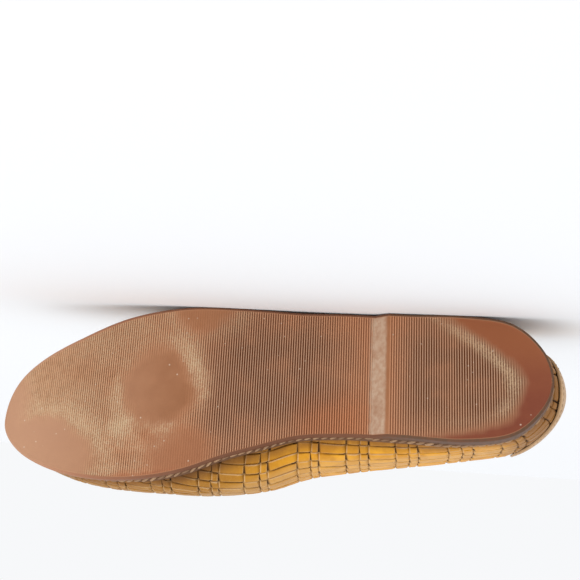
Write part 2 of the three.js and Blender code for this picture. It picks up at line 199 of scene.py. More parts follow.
def wall_sections(sign, angle, depth):
    """Half sections of the last from crown to foot: points, runs along them, heights above the foot"""
    x = outline_x(angle, FEATHER_INSET + depth)
    foot_y = outline_y(sign, angle, FEATHER_INSET + depth)
    foot_z = sole_top(x) + SEAT_GAP
    wide_y = foot_y + sign * side_station("_bulge", sign, angle)
    widest = side_station("_wide", sign, angle)
    crown = np.maximum(station("top", angle) - depth * side_share(angle), widest)
    crown_y = station("top_y", angle)
    turn = np.linspace(np.pi / 2, 0, SECTION_STEPS + 1)
    across = np.clip(np.cos(turn), 0, 1) ** (2 / CROWN_FULLNESS)
    rise = np.sin(turn) ** (2 / CROWN_FULLNESS)
    above_y = crown_y[:, None] + (wide_y - crown_y)[:, None] * across
    above_height = widest[:, None] + (crown - widest)[:, None] * rise
    below_y = foot_y[:, None] + (wide_y - foot_y)[:, None] * np.sin(turn[1:])
    below_height = widest[:, None] * (1 - np.cos(turn[1:]))
    y = np.hstack((above_y, below_y))
    height = np.hstack((above_height, below_height))
    swell = np.sin(np.minimum(height / np.maximum(widest, TINY)[:, None], 1) * np.pi / 2)
    swell *= np.cos(np.maximum(height - widest[:, None], 0) / HEEL_BACK_CURVE)
    back = HEEL_BACK_BULGE * np.clip(np.cos(angle), 0, 1)[:, None] ** HEEL_BACK_FADE * swell
    points = np.stack((x[:, None] - back, y, foot_z[:, None] + height), axis=2)
    lengths = np.linalg.norm(np.diff(points, axis=1), axis=2)
    runs = np.hstack((np.zeros((len(x), 1)), np.cumsum(lengths, axis=1)))
    return points, runs, height


def wall_point(sign, angle, run, depth=0.0):
    """Points of the wall at a run below the crown, measured on its outer face"""
    shape = np.broadcast_shapes(np.shape(sign), np.shape(angle), np.shape(run))
    sign, angle, run = matched_rows(sign, angle, run)
    points, runs, _ = wall_sections(sign, angle, depth)
    if depth:
        _, outer_runs, _ = wall_sections(sign, angle, 0.0)
        run = run * runs[:, -1] / np.maximum(outer_runs[:, -1], TINY)
    i = np.clip((runs < run[:, None]).sum(axis=1) - 1, 0, runs.shape[1] - 2)
    rows = np.arange(len(run))
    span = np.maximum(runs[rows, i + 1] - runs[rows, i], TINY)
    t = np.clip((run - runs[rows, i]) / span, 0, 1)[:, None]
    found = points[rows, i] * (1 - t) + points[rows, i + 1] * t
    return found.reshape(shape + (3,))


def wall_surface(sign, angle, run):
    """Points of the wall's outer face with their outward normals"""
    sign, angle, run = matched(sign, angle, run)
    past_heel = np.where(angle < ANGLE_STEP, -sign, sign)
    past_crown = np.where(run < SURFACE_STEP, -sign, sign)
    ahead = wall_point(sign, np.minimum(angle + ANGLE_STEP, np.pi), run)
    behind = wall_point(past_heel, np.abs(angle - ANGLE_STEP), run)
    below = wall_point(sign, angle, run + SURFACE_STEP)
    above = wall_point(past_crown, angle, np.abs(run - SURFACE_STEP))
    normals = -sign[..., None] * np.cross(below - above, ahead - behind)
    lengths = np.linalg.norm(normals, axis=-1, keepdims=True)
    return wall_point(sign, angle, run), normals / np.maximum(lengths, TINY)


def run_at_height(sign, angle, target):
    """Run below the crown where the wall first falls to a height above its foot"""
    sign, angle, target = matched_rows(sign, angle, target)
    _, runs, height = wall_sections(sign, angle, 0.0)
    i = np.clip((height > target[:, None]).sum(axis=1) - 1, 0, runs.shape[1] - 2)
    rows = np.arange(len(angle))
    drop = np.maximum(height[rows, i] - height[rows, i + 1], TINY)
    t = np.clip((height[rows, i] - target) / drop, 0, 1)
    return runs[rows, i] * (1 - t) + runs[rows, i + 1] * t


def foot_run(sign, angle):
    """Run from the crown to the wall's foot"""
    return wall_sections(*matched_rows(sign, angle), 0.0)[1][:, -1]


def find_throat():
    """Plan angle where the collar's line meets the crown"""
    angles = np.linspace(np.pi / 2, np.pi, THROAT_SAMPLES)
    return angles[np.argmax(station("rim", angles) >= station("top", angles))]


THROAT = find_throat()


def top_run(sign, angle):
    """Run at the top of the wall: the collar behind the throat, the crown in front of it"""
    sign, angle = matched_rows(sign, angle)
    return np.where(angle >= THROAT, 0, run_at_height(sign, angle, station("rim", angle)))


def counter_foot(angle):
    """Height of the heel counter's lower edge above the wall's foot"""
    share = outline_x(angle, FEATHER_INSET) / COUNTER_LENGTH
    return COUNTER_FOOT + COUNTER_RISE * share ** COUNTER_CLIMB


# Meshes
MERGE_REACH = 0.02
# Angles in degrees past which faces meet in a crease
RUBBER_CREASE = 35
LEATHER_CREASE = 50
ROUND_CREASE = 60


def give_values(mesh, values):
    """Float attributes of a mesh's points"""
    for label, numbers in values.items():
        layer = mesh.attributes.new(label, "FLOAT", "POINT")
        layer.data.foreach_set("value", np.asarray(numbers, np.float32).ravel())


def new_mesh(name, points, faces, values):
    """A piece from points of the shoe's own frame and a list of faces, with values of its points"""
    mesh = bpy.data.meshes.new(name)
    mesh.from_pydata(lay_down(points).tolist(), [], faces)
    give_values(mesh, values)
    piece = bpy.data.objects.new(name, mesh)
    bpy.context.scene.collection.objects.link(piece)
    return piece


def tube_faces(rings, sides, start):
    """Faces of a tube of rings by sides points from a start, with a cap at each end"""
    order = np.arange(rings * sides).reshape(rings, sides) + start
    following = np.roll(order, -1, axis=1)
    quads = np.stack((order[:-1], order[1:], following[1:], following[:-1]), axis=2).reshape(-1, 4)
    return quads.tolist() + [order[0].tolist(), order[-1][::-1].tolist()]


def make_active(piece):
    bpy.ops.object.select_all(action="DESELECT")
    piece.select_set(True)
    bpy.context.view_layer.objects.active = piece


def shaped_grid(name, columns, rows, place):
    """A grid of columns by rows points, moved to where place(column, row) says, with the values it gives"""
    bpy.ops.object.select_all(action="DESELECT")
    bpy.ops.mesh.primitive_grid_add(x_subdivisions=columns - 1, y_subdivisions=rows - 1, size=1)
    piece = bpy.context.object
    piece.name = name
    piece.data.name = name
    flat = np.empty(len(piece.data.vertices) * 3)
    piece.data.vertices.foreach_get("co", flat)
    flat = flat.reshape(-1, 3)
    column = np.rint((flat[:, 0] + 0.5) * (columns - 1)).astype(int)
    row = np.rint((flat[:, 1] + 0.5) * (rows - 1)).astype(int)
    points, values = place(column, row)
    piece.data.vertices.foreach_set("co", lay_down(points).ravel())
    give_values(piece.data, values)
    return piece


def close_up(piece, reach=MERGE_REACH):
    """Merges the points that meet, to a reach in millimetres, and turns every face outwards"""
    make_active(piece)
    bpy.ops.object.mode_set(mode="EDIT")
    bpy.ops.mesh.select_all(action="SELECT")
    bpy.ops.mesh.remove_doubles(threshold=reach * MM)
    bpy.ops.mesh.normals_make_consistent(inside=False)
    bpy.ops.object.mode_set(mode="OBJECT")


def apply_modifier(piece, kind, **settings):
    make_active(piece)
    modifier = piece.modifiers.new(kind.title(), kind)
    for label, value in settings.items():
        setattr(modifier, label, value)
    bpy.ops.object.modifier_apply(modifier=modifier.name)


def shade(piece, degrees):
    """Smooth shading, with creases where faces meet at more than an angle"""
    make_active(piece)
    bpy.ops.object.shade_smooth_by_angle(angle=math.radians(degrees))


def merged_grid(name, columns, rows, place, degrees):
    """A shaped grid with the points that meet merged, shaded with creases past an angle"""
    piece = shaped_grid(name, columns, rows, place)
    close_up(piece)
    shade(piece, degrees)
    return piece


# Finishes
# A Mix node's colour sockets go by number, because its names repeat
MIX_SHARE, MIX_FIRST, MIX_SECOND = 0, 6, 7
MIX_RESULT = 2


class Shade:
    """One socket of a material's nodes: arithmetic on it adds Math nodes"""

    def __init__(self, tree, socket=None):
        self.tree = tree
        self.socket = socket

    def add(self, kind, settings=None, sockets=None, output=0):
        """Any node: its settings first, then the values or links of its sockets"""
        node = self.tree.nodes.new(kind)
        for label, value in (settings or {}).items():
            setattr(node, label, value)
        for label, value in (sockets or {}).items():
            if isinstance(value, Shade):
                self.tree.links.new(value.socket, node.inputs[label])
            else:
                node.inputs[label].default_value = value
        return Shade(self.tree, node.outputs[output])

    def math(self, operation, *values):
        return self.add("ShaderNodeMath", {"operation": operation}, dict(enumerate(values)))

    def __add__(self, other):
        return self.math("ADD", self, other)

    __radd__ = __add__

    def __sub__(self, other):
        return self.math("SUBTRACT", self, other)

    def __rsub__(self, other):
        return self.math("SUBTRACT", other, self)

    def __mul__(self, other):
        return self.math("MULTIPLY", self, other)

    __rmul__ = __mul__

    def between(self, low, high):
        """0 below low, 1 above high, eased between them"""
        sockets = {"Value": self, "From Min": low, "From Max": high}
        return self.add("ShaderNodeMapRange", {"interpolation_type": "SMOOTHSTEP"}, sockets)

    def mix(self, first, second):
        """A colour: first where this is 0, second where it is 1"""
        sockets = {MIX_SHARE: self, MIX_FIRST: first, MIX_SECOND: second}
        return self.add("ShaderNodeMix", {"data_type": "RGBA"}, sockets, MIX_RESULT)

    def noise(self, scale, detail=3):
        """Cloudy noise over this place, with features about 1 / scale across"""
        sockets = {"Vector": self, "Scale": scale, "Detail": detail, "Roughness": 0.55}
        return self.add("ShaderNodeTexNoise", None, sockets)

    def cells(self, scale, output="Distance"):
        """Cells over this place: the distance from their middles, or a colour of their own"""
        return self.add("ShaderNodeTexVoronoi", None, {"Vector": self, "Scale": scale}, output)

    def axis(self, label):
        """One coordinate of this place, in metres"""
        return self.add("ShaderNodeSeparateXYZ", None, {0: self}, label)

    def attribute(self, label):
        """A value that the piece's own points carry"""
        return self.add("ShaderNodeAttribute", {"attribute_name": label}, None, "Fac")

    def bump(self, strength, distance):
        sockets = {"Strength": strength, "Distance": distance * MM, "Height": self}
        return self.add("ShaderNodeBump", None, sockets, "Normal")


def colour(red, green, blue):
    return (red, green, blue, 1)


def new_finish(name):
    """A new material, the place of its points, and a way to feed its shader"""
    material = bpy.data.materials.new(name)
    material.use_nodes = True
    tree = material.node_tree
    shader = tree.nodes["Principled BSDF"]
    place = Shade(tree).add("ShaderNodeTexCoord", None, None, "Object")

    def feed(**inputs):
        for label, value in inputs.items():
            socket = shader.inputs[label.replace("_", " ").title().replace("Ior", "IOR")]
            if isinstance(value, Shade):
                tree.links.new(value.socket, socket)
            else:
                socket.default_value = value

    return material, place, feed


def dress(piece, material, slot, *nodes):
    """Gives a piece its finish and its place in the frame"""
    piece.data.materials.clear()
    piece.data.materials.append(material)
    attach(piece, "root")
    if nodes:
        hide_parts(*nodes)


# Outsole: ribbed tread with worn patches
RIB_PITCH = 1.1
RIB_CORNERS = (0, 0.4, 0.52, 0.88)
RIB_LEVELS = (0, 0, 1, 1)
RIB_DEPTH = 0.42
TOE_RIBS = (195, 235)
TOE_RIB_LOSS = 0.4
WORN_RELIEF = 0.35
RIB_START = 2.4
RIB_END = 253
TIP_COLUMNS = 14
TREAD_ROWS = 36
EDGE_TURNS = (0.0, 0.25, 0.5, 0.75, 1.0)
SIDE_ROWS = 3
TOP_SHARES = (0, 0.04, 0.96, 1)
TREAD_VALUES = ("worn", "dust", "rib", "ribbed", "chalk", "red", "soil", "side")
# Worn smooth patches of the tread: middle, half sizes, softness of the edge, how fully worn, how red, how
# much dust lies around, how wide, and how far it is gone to both sides of its axis
PATCH_COLUMNS = ("x", "y", "along", "across", "edge", "share", "red", "dust", "dust_width", "gaps")
WORN_PATCHES = {
    "ball": (176.3, -4.6, 16.8, 19, 4.5, 1, 0.05, 1.08, 6, 0.6),
    "medial ball": (166, -34, 16, 13, 6, 0.75, 0.3, 0.1, 5, 0),
    "medial waist": (95, -21, 17, 13, 9, 0, 0.45, 0, 5, 0),
    "foot of the ball": (183, -26, 4, 2, 3, 0, 0, 1.6, 5, 0),
    "medial toe": (238, -39, 33, 21.5, 4, 1, 0, 0.86, 9, 0),
    "toe tip": (257, -19, 15, 25, 8, 1, 0, 0.6, 8, 0),
    "lateral ball": (156.5, 37, 15, 13, 4, 0.85, 0.1, 0.6, 6, 0.5),
}
# The heel is worn past these lines: a point of each and the direction away from the ribs that are left
HEEL_LINES = ((17.5, 8, 125.7), (11.5, -3, 180), (12.3, -10.5, 213.9), (28, -22, 262))
HEEL_WEAR = {"edge": 2.6, "share": 1, "red": 1, "dust": 0.72, "dust_width": 3.4}
HEEL_DUST_END = (-25, -12)
HEEL_CORNERS = 0.3
HEEL_WOBBLE = 0.45
# Wobble of the patches' edges: its height and scale, and those of the finer wobble on it as shares of them
WEAR_WOBBLE = 2.8
WEAR_WOBBLE_SCALE = 0.07
FINE_WOBBLE = 0.6
FINE_WOBBLE_SCALE = 4
DUST_OFFSET = 3
DUST_AXIS = math.radians(-22)
FOREFOOT_DUST = 0.48
FOREFOOT_START = (150, 185)
BREAST_DUST = 2.5
BREAST_WEAR = 0.9
BREAST_LEAD = 0.5
BREAST_TRAIL = 0.6
CHALK_START = (0.2, 1.8)
RIM_WIDTH = 0.4
RIM_SHARE = 0.008
RIM_BLEND = 0.6
# Where the grooves are full of dirt: from and to along the waist, the front of the heel, the cleaner edges
# as shares of half the width with how much cleaner they are, and the least dirt
SOIL_WAIST = (70, 112, 140, 166)
SOIL_HEEL = (56, 74)
SOIL_EDGES = (0.4, 1)
SOIL_EDGE_LOSS = 0.5
LEAST_SOIL = 0.15


def past_heel_lines(x, y):
    """How far points lie past the heel's wear lines, with the corners between the lines rounded"""
    past = []
    for line_x, line_y, degrees in HEEL_LINES:
        turn = math.radians(degrees)
        past.append((x - line_x) * math.cos(turn) + (y - line_y) * math.sin(turn))
    return np.logaddexp.reduce(np.stack(past) * HEEL_CORNERS) / HEEL_CORNERS


def wear_wobble(x, y):
    """Unevenness of the worn patches' edges, in millimetres"""
    spots = np.stack((x, y, np.zeros_like(x)), axis=1) * WEAR_WOBBLE_SCALE
    coarse = np.array([noise.noise(Vector(spot)) for spot in spots])
    fine = np.array([noise.noise(Vector(spot)) for spot in spots * FINE_WOBBLE_SCALE])
    return WEAR_WOBBLE * (coarse + FINE_WOBBLE * fine)


def tread_wear(x, y):
    """How far the ribs are worn off at points of the tread, how red that is, and the pale dust around it"""
    wobble = wear_wobble(x, y)
    spread = [(HEEL_WOBBLE * wobble - past_heel_lines(x, y), smooth(*HEEL_DUST_END, y), HEEL_WEAR)]
    for values in WORN_PATCHES.values():
        patch = dict(zip(PATCH_COLUMNS, values))
        radius = np.hypot((x - patch["x"]) / patch["along"], (y - patch["y"]) / patch["across"])
        outside = (radius - 1) * min(patch["along"], patch["across"]) + wobble
        turn = np.arctan2(y - patch["y"], x - patch["x"]) - DUST_AXIS
        spread.append((outside, 1 - patch["gaps"] * np.sin(turn) ** 2, patch))
    worn = np.zeros_like(x)
    red = np.zeros_like(x)
    dust = FOREFOOT_DUST * smooth(*FOREFOOT_START, x)
    for outside, dusty, patch in spread:
        here = smooth(patch["edge"], -patch["edge"], outside)
        worn = np.maximum(worn, patch["share"] * here)
        red = np.maximum(red, patch["red"] * here)
        band = np.exp(-((outside - DUST_OFFSET) / patch["dust_width"]) ** 2)
        dust = np.maximum(dust, patch["dust"] * dusty * band)
    return worn, red, dust * (1 - worn)


def groove_soil(x, share):
    """How much dirt fills the grooves at a station and a share of the tread's width"""
    waist = smooth(*SOIL_WAIST[:2], x) * (1 - smooth(*SOIL_WAIST[2:], x))
    heel = 1 - smooth(*SOIL_HEEL, x)
    middle = 1 - SOIL_EDGE_LOSS * smooth(*SOIL_EDGES, np.abs(2 * share - 1))
    return LEAST_SOIL + (1 - LEAST_SOIL) * np.maximum(waist, heel) * middle


def heel_breast(x):
    """Where the smooth breast of the heel is, and where chalky dust lies on it"""
    start = HEEL_BLOCK_LENGTH - BREAST_LEAD
    end = HEEL_BLOCK_LENGTH + HEEL_BREAST_RUN + BREAST_TRAIL
    breast = smooth(start - BREAST_TRAIL, start, x) * (1 - smooth(end, end + BREAST_TRAIL, x))
    chalk = smooth(*CHALK_START, x - HEEL_BLOCK_LENGTH) * (1 - smooth(end, end + BREAST_DUST, x))
    return breast, chalk


def rib_profile(x):
    """1 on top of a rib, 0 in a groove"""
    phase = np.mod(x / RIB_PITCH, 1)
    return np.interp(phase, RIB_CORNERS + (1,), RIB_LEVELS + (0,))


def tread_columns():
    """Stations of the outsole: the corners of every rib, close steps at the tips, and the heel breast"""
    first = int(RIB_START / RIB_PITCH) + 1
    last = int(RIB_END / RIB_PITCH)
    ribs = [(n + corner) * RIB_PITCH for n in range(first, last) for corner in RIB_CORNERS]
    tip = TREAD_EDGE_INSET
    reach = SOLE_LENGTH - 2 * tip
    turns = np.linspace(0, 1, TIP_COLUMNS) ** 2
    heel = tip + turns * (ribs[0] - tip)
    toe = SOLE_LENGTH - tip - turns * (SOLE_LENGTH - tip - ribs[-1])
    breast = (HEEL_BLOCK_LENGTH, HEEL_BLOCK_LENGTH + HEEL_BREAST_RUN)
    stations = np.unique(np.concatenate((heel, ribs, toe, breast)))
    angles = np.arccos(np.clip(1 - 2 * (stations - tip) / reach, -1, 1))
    return stations, angles


# Each row maker takes the side, share, stations and plan angles of its row, and gives points and values
def side_row(sign, share, x, angle):
    """A row of the sole's side wall, from its foot at 0 to its top at 1"""
    edge_x = outline_x(angle, 0)
    low = tread_height(edge_x) + TREAD_EDGE_RISE
    z = low + share * (sole_top(edge_x) - low)
    return (edge_x, outline_y(sign, angle, 0), z), {"side": 1}


def turn_row(sign, share, x, angle):
    """A row of the rounded edge, from the side wall at 0 to the tread at 1"""
    turn = share * np.pi / 2
    depth = TREAD_EDGE_INSET * (1 - math.cos(turn))
    edge_x = outline_x(angle, depth)
    z = tread_height(edge_x) + TREAD_EDGE_RISE * (1 - math.sin(turn))
    return (edge_x, outline_y(sign, angle, depth), z), {"side": 1 - RIM_BLEND * share}


def tread_row(sign, share, x, angle):
    """A row of the tread, from its inner edge at 0 to its outer edge at 1, with ribs, wear and dirt"""
    outer = outline_y(1, angle, TREAD_EDGE_INSET)
    inner = outline_y(-1, angle, TREAD_EDGE_INSET)
    y = inner + share * (outer - inner)
    wear, red, powder = tread_wear(x, y)
    rim = np.minimum(np.abs(outer - y), np.abs(y - inner))
    rim = np.minimum(rim, np.minimum(x - TREAD_EDGE_INSET, SOLE_LENGTH - x))
    edge = smooth(0, RIM_WIDTH, rim)
    breast, chalk = heel_breast(x)
    ribbed = (1 - wear) * edge * (1 - breast)
    profile = rib_profile(x)
    depth = RIB_DEPTH * (1 - TOE_RIB_LOSS * smooth(*TOE_RIBS, x))
    relief = depth * (ribbed * (1 - profile) + WORN_RELIEF * wear * edge)
    values = {"worn": np.maximum(wear, BREAST_WEAR * breast), "dust": powder * edge, "rib": profile,
              "ribbed": ribbed, "chalk": chalk * edge, "red": red, "soil": groove_soil(x, share)}
    return (x, y, tread_height(x) + relief), values


def top_row(sign, share, x, angle):
    """A row of the sole's top, from its inner edge at 0 to its outer edge at 1"""
    edge_x = outline_x(angle, 0)
    y = outline_y(1, angle, 0) * share + outline_y(-1, angle, 0) * (1 - share)
    return (edge_x, y, sole_top(edge_x)), {"side": 1}


def outsole_rows():
    """Rows round the sole, from the outer top edge under the tread and back: maker, side and share"""
    side_shares = np.linspace(1, 0, SIDE_ROWS + 1)[:-1]
    outer_edge = [(side_row, 1, share) for share in side_shares]
    outer_edge += [(turn_row, 1, share) for share in EDGE_TURNS]
    inner_edge = [(maker, -1, share) for maker, _, share in reversed(outer_edge)]
    shares = np.concatenate(((1 - RIM_SHARE,), np.linspace(1, 0, TREAD_ROWS)[1:-1], (RIM_SHARE,)))
    tread = [(tread_row, 1, share) for share in shares]
    top = [(top_row, 1, share) for share in TOP_SHARES]
    return outer_edge + tread + inner_edge + top


def make_outsole():
    stations, angles = tread_columns()
    rows = outsole_rows()

    def place(column, row):
        points = np.zeros((len(row), 3))
        values = {label: np.zeros(len(row)) for label in TREAD_VALUES}
        for index, (maker, sign, share) in enumerate(rows):
            here = row == index
            placed, given = maker(sign, share, stations[column[here]], angles[column[here]])
            points[here] = np.stack(placed, axis=1)
            for label, numbers in given.items():
                values[label][here] = numbers
        return points, values

    return merged_grid("outsole_tread", len(stations), len(rows), place, RUBBER_CREASE)


# Where the finishes change along the shoe and up its inner side, on the frame's own axes in metres
TOE_BLEND = (0.02, 0.125)
TIP_BLEND = (0.075, 0.125)
HEEL_BLEND = (-0.06, -0.045)
HEEL_INWARDS = (0.008, 0.036)
RUBBER = {
    "waist": colour(0.59, 0.27, 0.136),
    "toe": colour(0.58, 0.325, 0.177),
    "soiled": colour(0.43, 0.248, 0.152),
    "toe mottle": colour(0.40, 0.205, 0.105),
    "worn waist": colour(0.285, 0.115, 0.047),
    "worn toe": colour(0.455, 0.240, 0.140),
    "worn heel": colour(0.275, 0.088, 0.035),
    "inner worn heel": colour(0.195, 0.05, 0.025),
    "worn heel mottle": colour(0.30, 0.098, 0.04),
    "red waist": colour(0.57, 0.19, 0.07),
    "groove dirt": colour(0.12, 0.027, 0.003),
    "dust": colour(0.58, 0.405, 0.25),
    "chalk": colour(0.51, 0.36, 0.252),
    "specks": colour(0.66, 0.53, 0.41),
    "dark wall": colour(0.125, 0.046, 0.022),
    "pale wall": colour(0.19, 0.082, 0.044),
    "toe wall": colour(0.43, 0.19, 0.105),
    "tip wall": colour(0.46, 0.25, 0.15),
    "heel wall": colour(0.115, 0.062, 0.036),
}
SPECK_SCALE = 480


def rubber_finish():
    """Red-brown sole rubber: dirt in the grooves, dust on the ribs round worn patches, a glossier side"""
    material, place, feed = new_finish("red_brown_rubber")
    worn, dust, rib, ribbed, chalk, red, soil, side = (place.attribute(label) for label in TREAD_VALUES)
    clouds = place.noise(38, 4)
    patches = place.noise(90, 4)
    fine = place.noise(420)
    grit = place.noise(1300, 2)
    along = place.axis("X")
    toe = along.between(*TOE_BLEND)
    tip = along.between(*TIP_BLEND)
    past_heel = along.between(*HEEL_BLEND)
    inwards = place.axis("Z").between(*HEEL_INWARDS)

    # Ribs
    body = toe.mix(RUBBER["waist"], RUBBER["toe"])
    blotches = 0.55 + 0.45 * patches.between(0.2, 0.6)
    body = (soil * blotches).mix(body, RUBBER["soiled"])
    body = (toe * place.noise(330).between(0.4, 0.65) * 0.55).mix(body, RUBBER["toe mottle"])

    # Rubber worn smooth
    worn_body = toe.mix(RUBBER["worn waist"], RUBBER["worn toe"])
    worn_body = (patches.between(0.35, 0.7) * 0.15).mix(worn_body, body)
    worn_heel = inwards.mix(RUBBER["worn heel"], RUBBER["inner worn heel"])
    worn_heel = (patches.between(0.3, 0.7) * 0.2).mix(worn_heel, RUBBER["worn heel mottle"])
    worn_body = red.mix(worn_body, worn_heel)
    body = worn.mix(body, worn_body)
    body = (red * (1 - worn) * past_heel).mix(body, RUBBER["red waist"])

    # Dirt in the grooves, dust, chalk and specks
    heap = dust.between(0.45, 1)
    dirt = ribbed * (1 - rib) * (0.48 - 0.28 * tip + 0.5 * soil * blotches) * (1 - 0.4 * heap)
    body = dirt.mix(body, RUBBER["groove dirt"])
    grains = 0.5 + 0.5 * grit.between(0.42, 0.62)
    powder = dust * (0.72 + 0.28 * rib) * grains * clouds.between(0.18, 0.6)
    body = powder.between(0, 0.8).mix(body, RUBBER["dust"])
    haze = chalk * (0.5 + 0.5 * fine.between(0.3, 0.7)) * (0.65 + 0.35 * patches.between(0.25, 0.65))
    body = haze.mix(body, RUBBER["chalk"])
    chance = place.add("ShaderNodeSeparateColor", None, {0: place.cells(SPECK_SCALE, "Color")}, "Red")
    chance = chance + 0.035 * place.noise(45, 2).between(0.5, 0.62)
    speck = (1 - place.cells(SPECK_SCALE).between(0.08, 0.24)) * chance.between(0.95, 0.96)
    speck = speck * fine.between(0.3, 0.45) * (1 - side)
    body = (speck * 0.7).mix(body, RUBBER["specks"])

    # Side wall
    wall = patches.mix(RUBBER["dark wall"], RUBBER["pale wall"])
    wall = toe.mix(wall, RUBBER["toe wall"])
    wall = tip.mix(wall, RUBBER["tip wall"])
    wall = ((1 - past_heel) * (0.4 + 0.6 * fine.between(0.4, 0.6))).mix(wall, RUBBER["heel wall"])
    body = side.between(0.05, 0.5).mix(body, wall)

    grain = fine + place.noise(1500, 2) * 0.5
    roughness = 0.66 - 0.12 * side - 0.1 * worn + 0.12 * (fine - 0.5)
    feed(base_color=body, roughness=roughness, specular_ior_level=0.15, normal=grain.bump(0.25, 0.08))
    return material


# Woven upper: leather strips over and under each other
STRIP_THICKNESS = 1.05
STRIP_BEVEL = 0.22
STRIP_SHOULDER = 0.55
STRIP_STEP = 2.6
STRIP_LIFT = 0.62
STRIP_MIDDLE = -0.41
STRIP_CROWNING = 0.14
STRIP_CORNER_EDGE = 0.7
DIVE_STEEPNESS = 2.6
STRIP_VALUES = ("edge", "tone", "dive", "shadow_side", "foot", "cover")
# Painted shade falls on the strips' shadow side, at edges and slopes that face the heel or the crown:
# places across a strip with what they add, and the slope that lies wholly on the shadow side
LEE_PLACES = (-0.5, -0.36, 0.36, 0.5)
LEE_SHARES = (0.5, 0, 0, -0.5)
LEE_SLOPE = 0.15
CROSS_LEE = 0.25
LENGTH_STRIP_WIDTH = 4.55
CROSS_STRIP_SLACK = 0.4
SAMPLE_RUN = 1.1
LENGTH_SAMPLE_RUN = 1.15
LEAST_STEPS = 4
LEAST_SAMPLES = 3
WEAVE_SAMPLES = 1440
SPOT_SAMPLES = 2000
HEEL_TURN = (30, 60)
TOE_TURN = (190, 225)
TOE_TIP_CLEARANCE = 2.5
ROW_COUNT = 22
ROW_REACH = 0.3 * LENGTH_STRIP_PITCH
# Forward slant of the crosswise strips by their place along the weave, and the share below the crown where
# it eases
SLANT_SPOTS = (0, 40, 115, 150, 200)
STRIP_SLANTS = (0, 0.07, 0.113, 0.152, 0.156)
SLANT_EASE = 0.35
EDGE_UNEVENNESS = 0.3
CROSS_WANDER = 0.05
LENGTH_WANDER = 0.04
ROW_UNEVENNESS = 0.35
ROW_WAVE = 18
ROW_BEAT = 1.7
COLLAR_TRIES = 5
COVER_MARGIN = 3
COVER_DROP = 0.3
COVER_FLATNESS = 0.55


def weave_runs():
    """Run of the weave at plan angles: by the outline round the heel, by the crown over the toe"""
    angle = np.linspace(0, np.pi, WEAVE_SAMPLES + 1)
    x = outline_x(angle, FEATHER_INSET)
    round_heel = (1 - smooth(*HEEL_TURN, x[1:])) * np.diff(station("outer", angle))
    over_toe = smooth(*TOE_TURN, x[1:]) * np.diff(station("top", angle))
    steps = np.sqrt(np.diff(x) ** 2 + round_heel ** 2 + over_toe ** 2)
    return angle, np.concatenate(([0], np.cumsum(steps)))


WEAVE_ANGLES, WEAVE_RUNS = weave_runs()


def forward_slant(spot, sign, run):
    """How far a crosswise strip has moved towards the toe at a run below the crown"""
    foot = foot_run(sign, np.interp(spot, WEAVE_RUNS, WEAVE_ANGLES)).reshape(np.shape(run))
    share = np.clip(np.abs(run) / np.maximum(foot, TINY), 0, 1)
    eased = np.minimum(share / SLANT_EASE, 1)
    forward = 1 - np.maximum(share, SLANT_EASE) + SLANT_EASE * (0.5 - eased ** 3 + eased ** 4 / 2)
    return np.interp(spot, SLANT_SPOTS, STRIP_SLANTS) * foot * forward


def slanted_angle(spot, sign, run):
    """Plan angle of a crosswise strip's line at a run below the crown; spot is its place at the foot"""
    return np.interp(spot + forward_slant(spot, sign, run), WEAVE_RUNS, WEAVE_ANGLES)


def throat_spot():
    """Place at the foot of the strip line that meets the throat at the crown"""
    spots = np.linspace(0, WEAVE_RUNS[-1], SPOT_SAMPLES)
    angles = slanted_angle(spots, np.ones_like(spots), np.zeros_like(spots))
    return spots[np.argmax(angles >= THROAT)]


THROAT_RUN = throat_spot()


def cross_edges():
    """Boundaries between crosswise strips along the weave; the one nearest to the throat is moved to it"""
    last = WEAVE_RUNS[-1] - TOE_TIP_CLEARANCE
    edges = [-CROSS_STRIPS[0] / 2]
    while edges[-1] < last:
        width = CROSS_STRIPS[(len(edges) - 1) % len(CROSS_STRIPS)]
        edges.append(edges[-1] + width + STRIP_GAP)
    edges = np.array(edges)
    edges[1:] += luck.normal(0, EDGE_UNEVENNESS, len(edges) - 1)
    edges[-1] = min(edges[-1], last)
    edges[np.argmin(np.abs(edges - THROAT_RUN))] = THROAT_RUN
    return edges


CROSS_EDGES = cross_edges()


def over_under(phase):
    """1 on top and -1 underneath by turns, at whole numbers of phase"""
    return np.sin(np.clip(DIVE_STEEPNESS * np.cos(np.pi * phase), -1, 1) * np.pi / 2)


def strip_ring(width):
    """Section of a strip: places across it, heights, and where its cut edges are"""
    half = width / 2
    top = STRIP_THICKNESS / 2
    inner = half - STRIP_BEVEL
    shoulder = inner - STRIP_SHOULDER
    side = top - STRIP_BEVEL - STRIP_CROWNING
    rim = top - STRIP_CROWNING
    count = 2 * math.ceil(shoulder / STRIP_STEP) + 1
    face = np.linspace(-shoulder, shoulder, count)
    face_height = top - STRIP_CROWNING / 3 * (face / shoulder) ** 2
    corner = STRIP_CORNER_EDGE
    across = np.concatenate(((-half, -half, -inner), face, (inner, half, half)))
    height = np.concatenate(((-top, side, rim), face_height, (rim, side, -top)))
    edge = np.concatenate(((1, 1, corner), np.zeros(count), (corner, 1, 1)))
    return across, height, edge


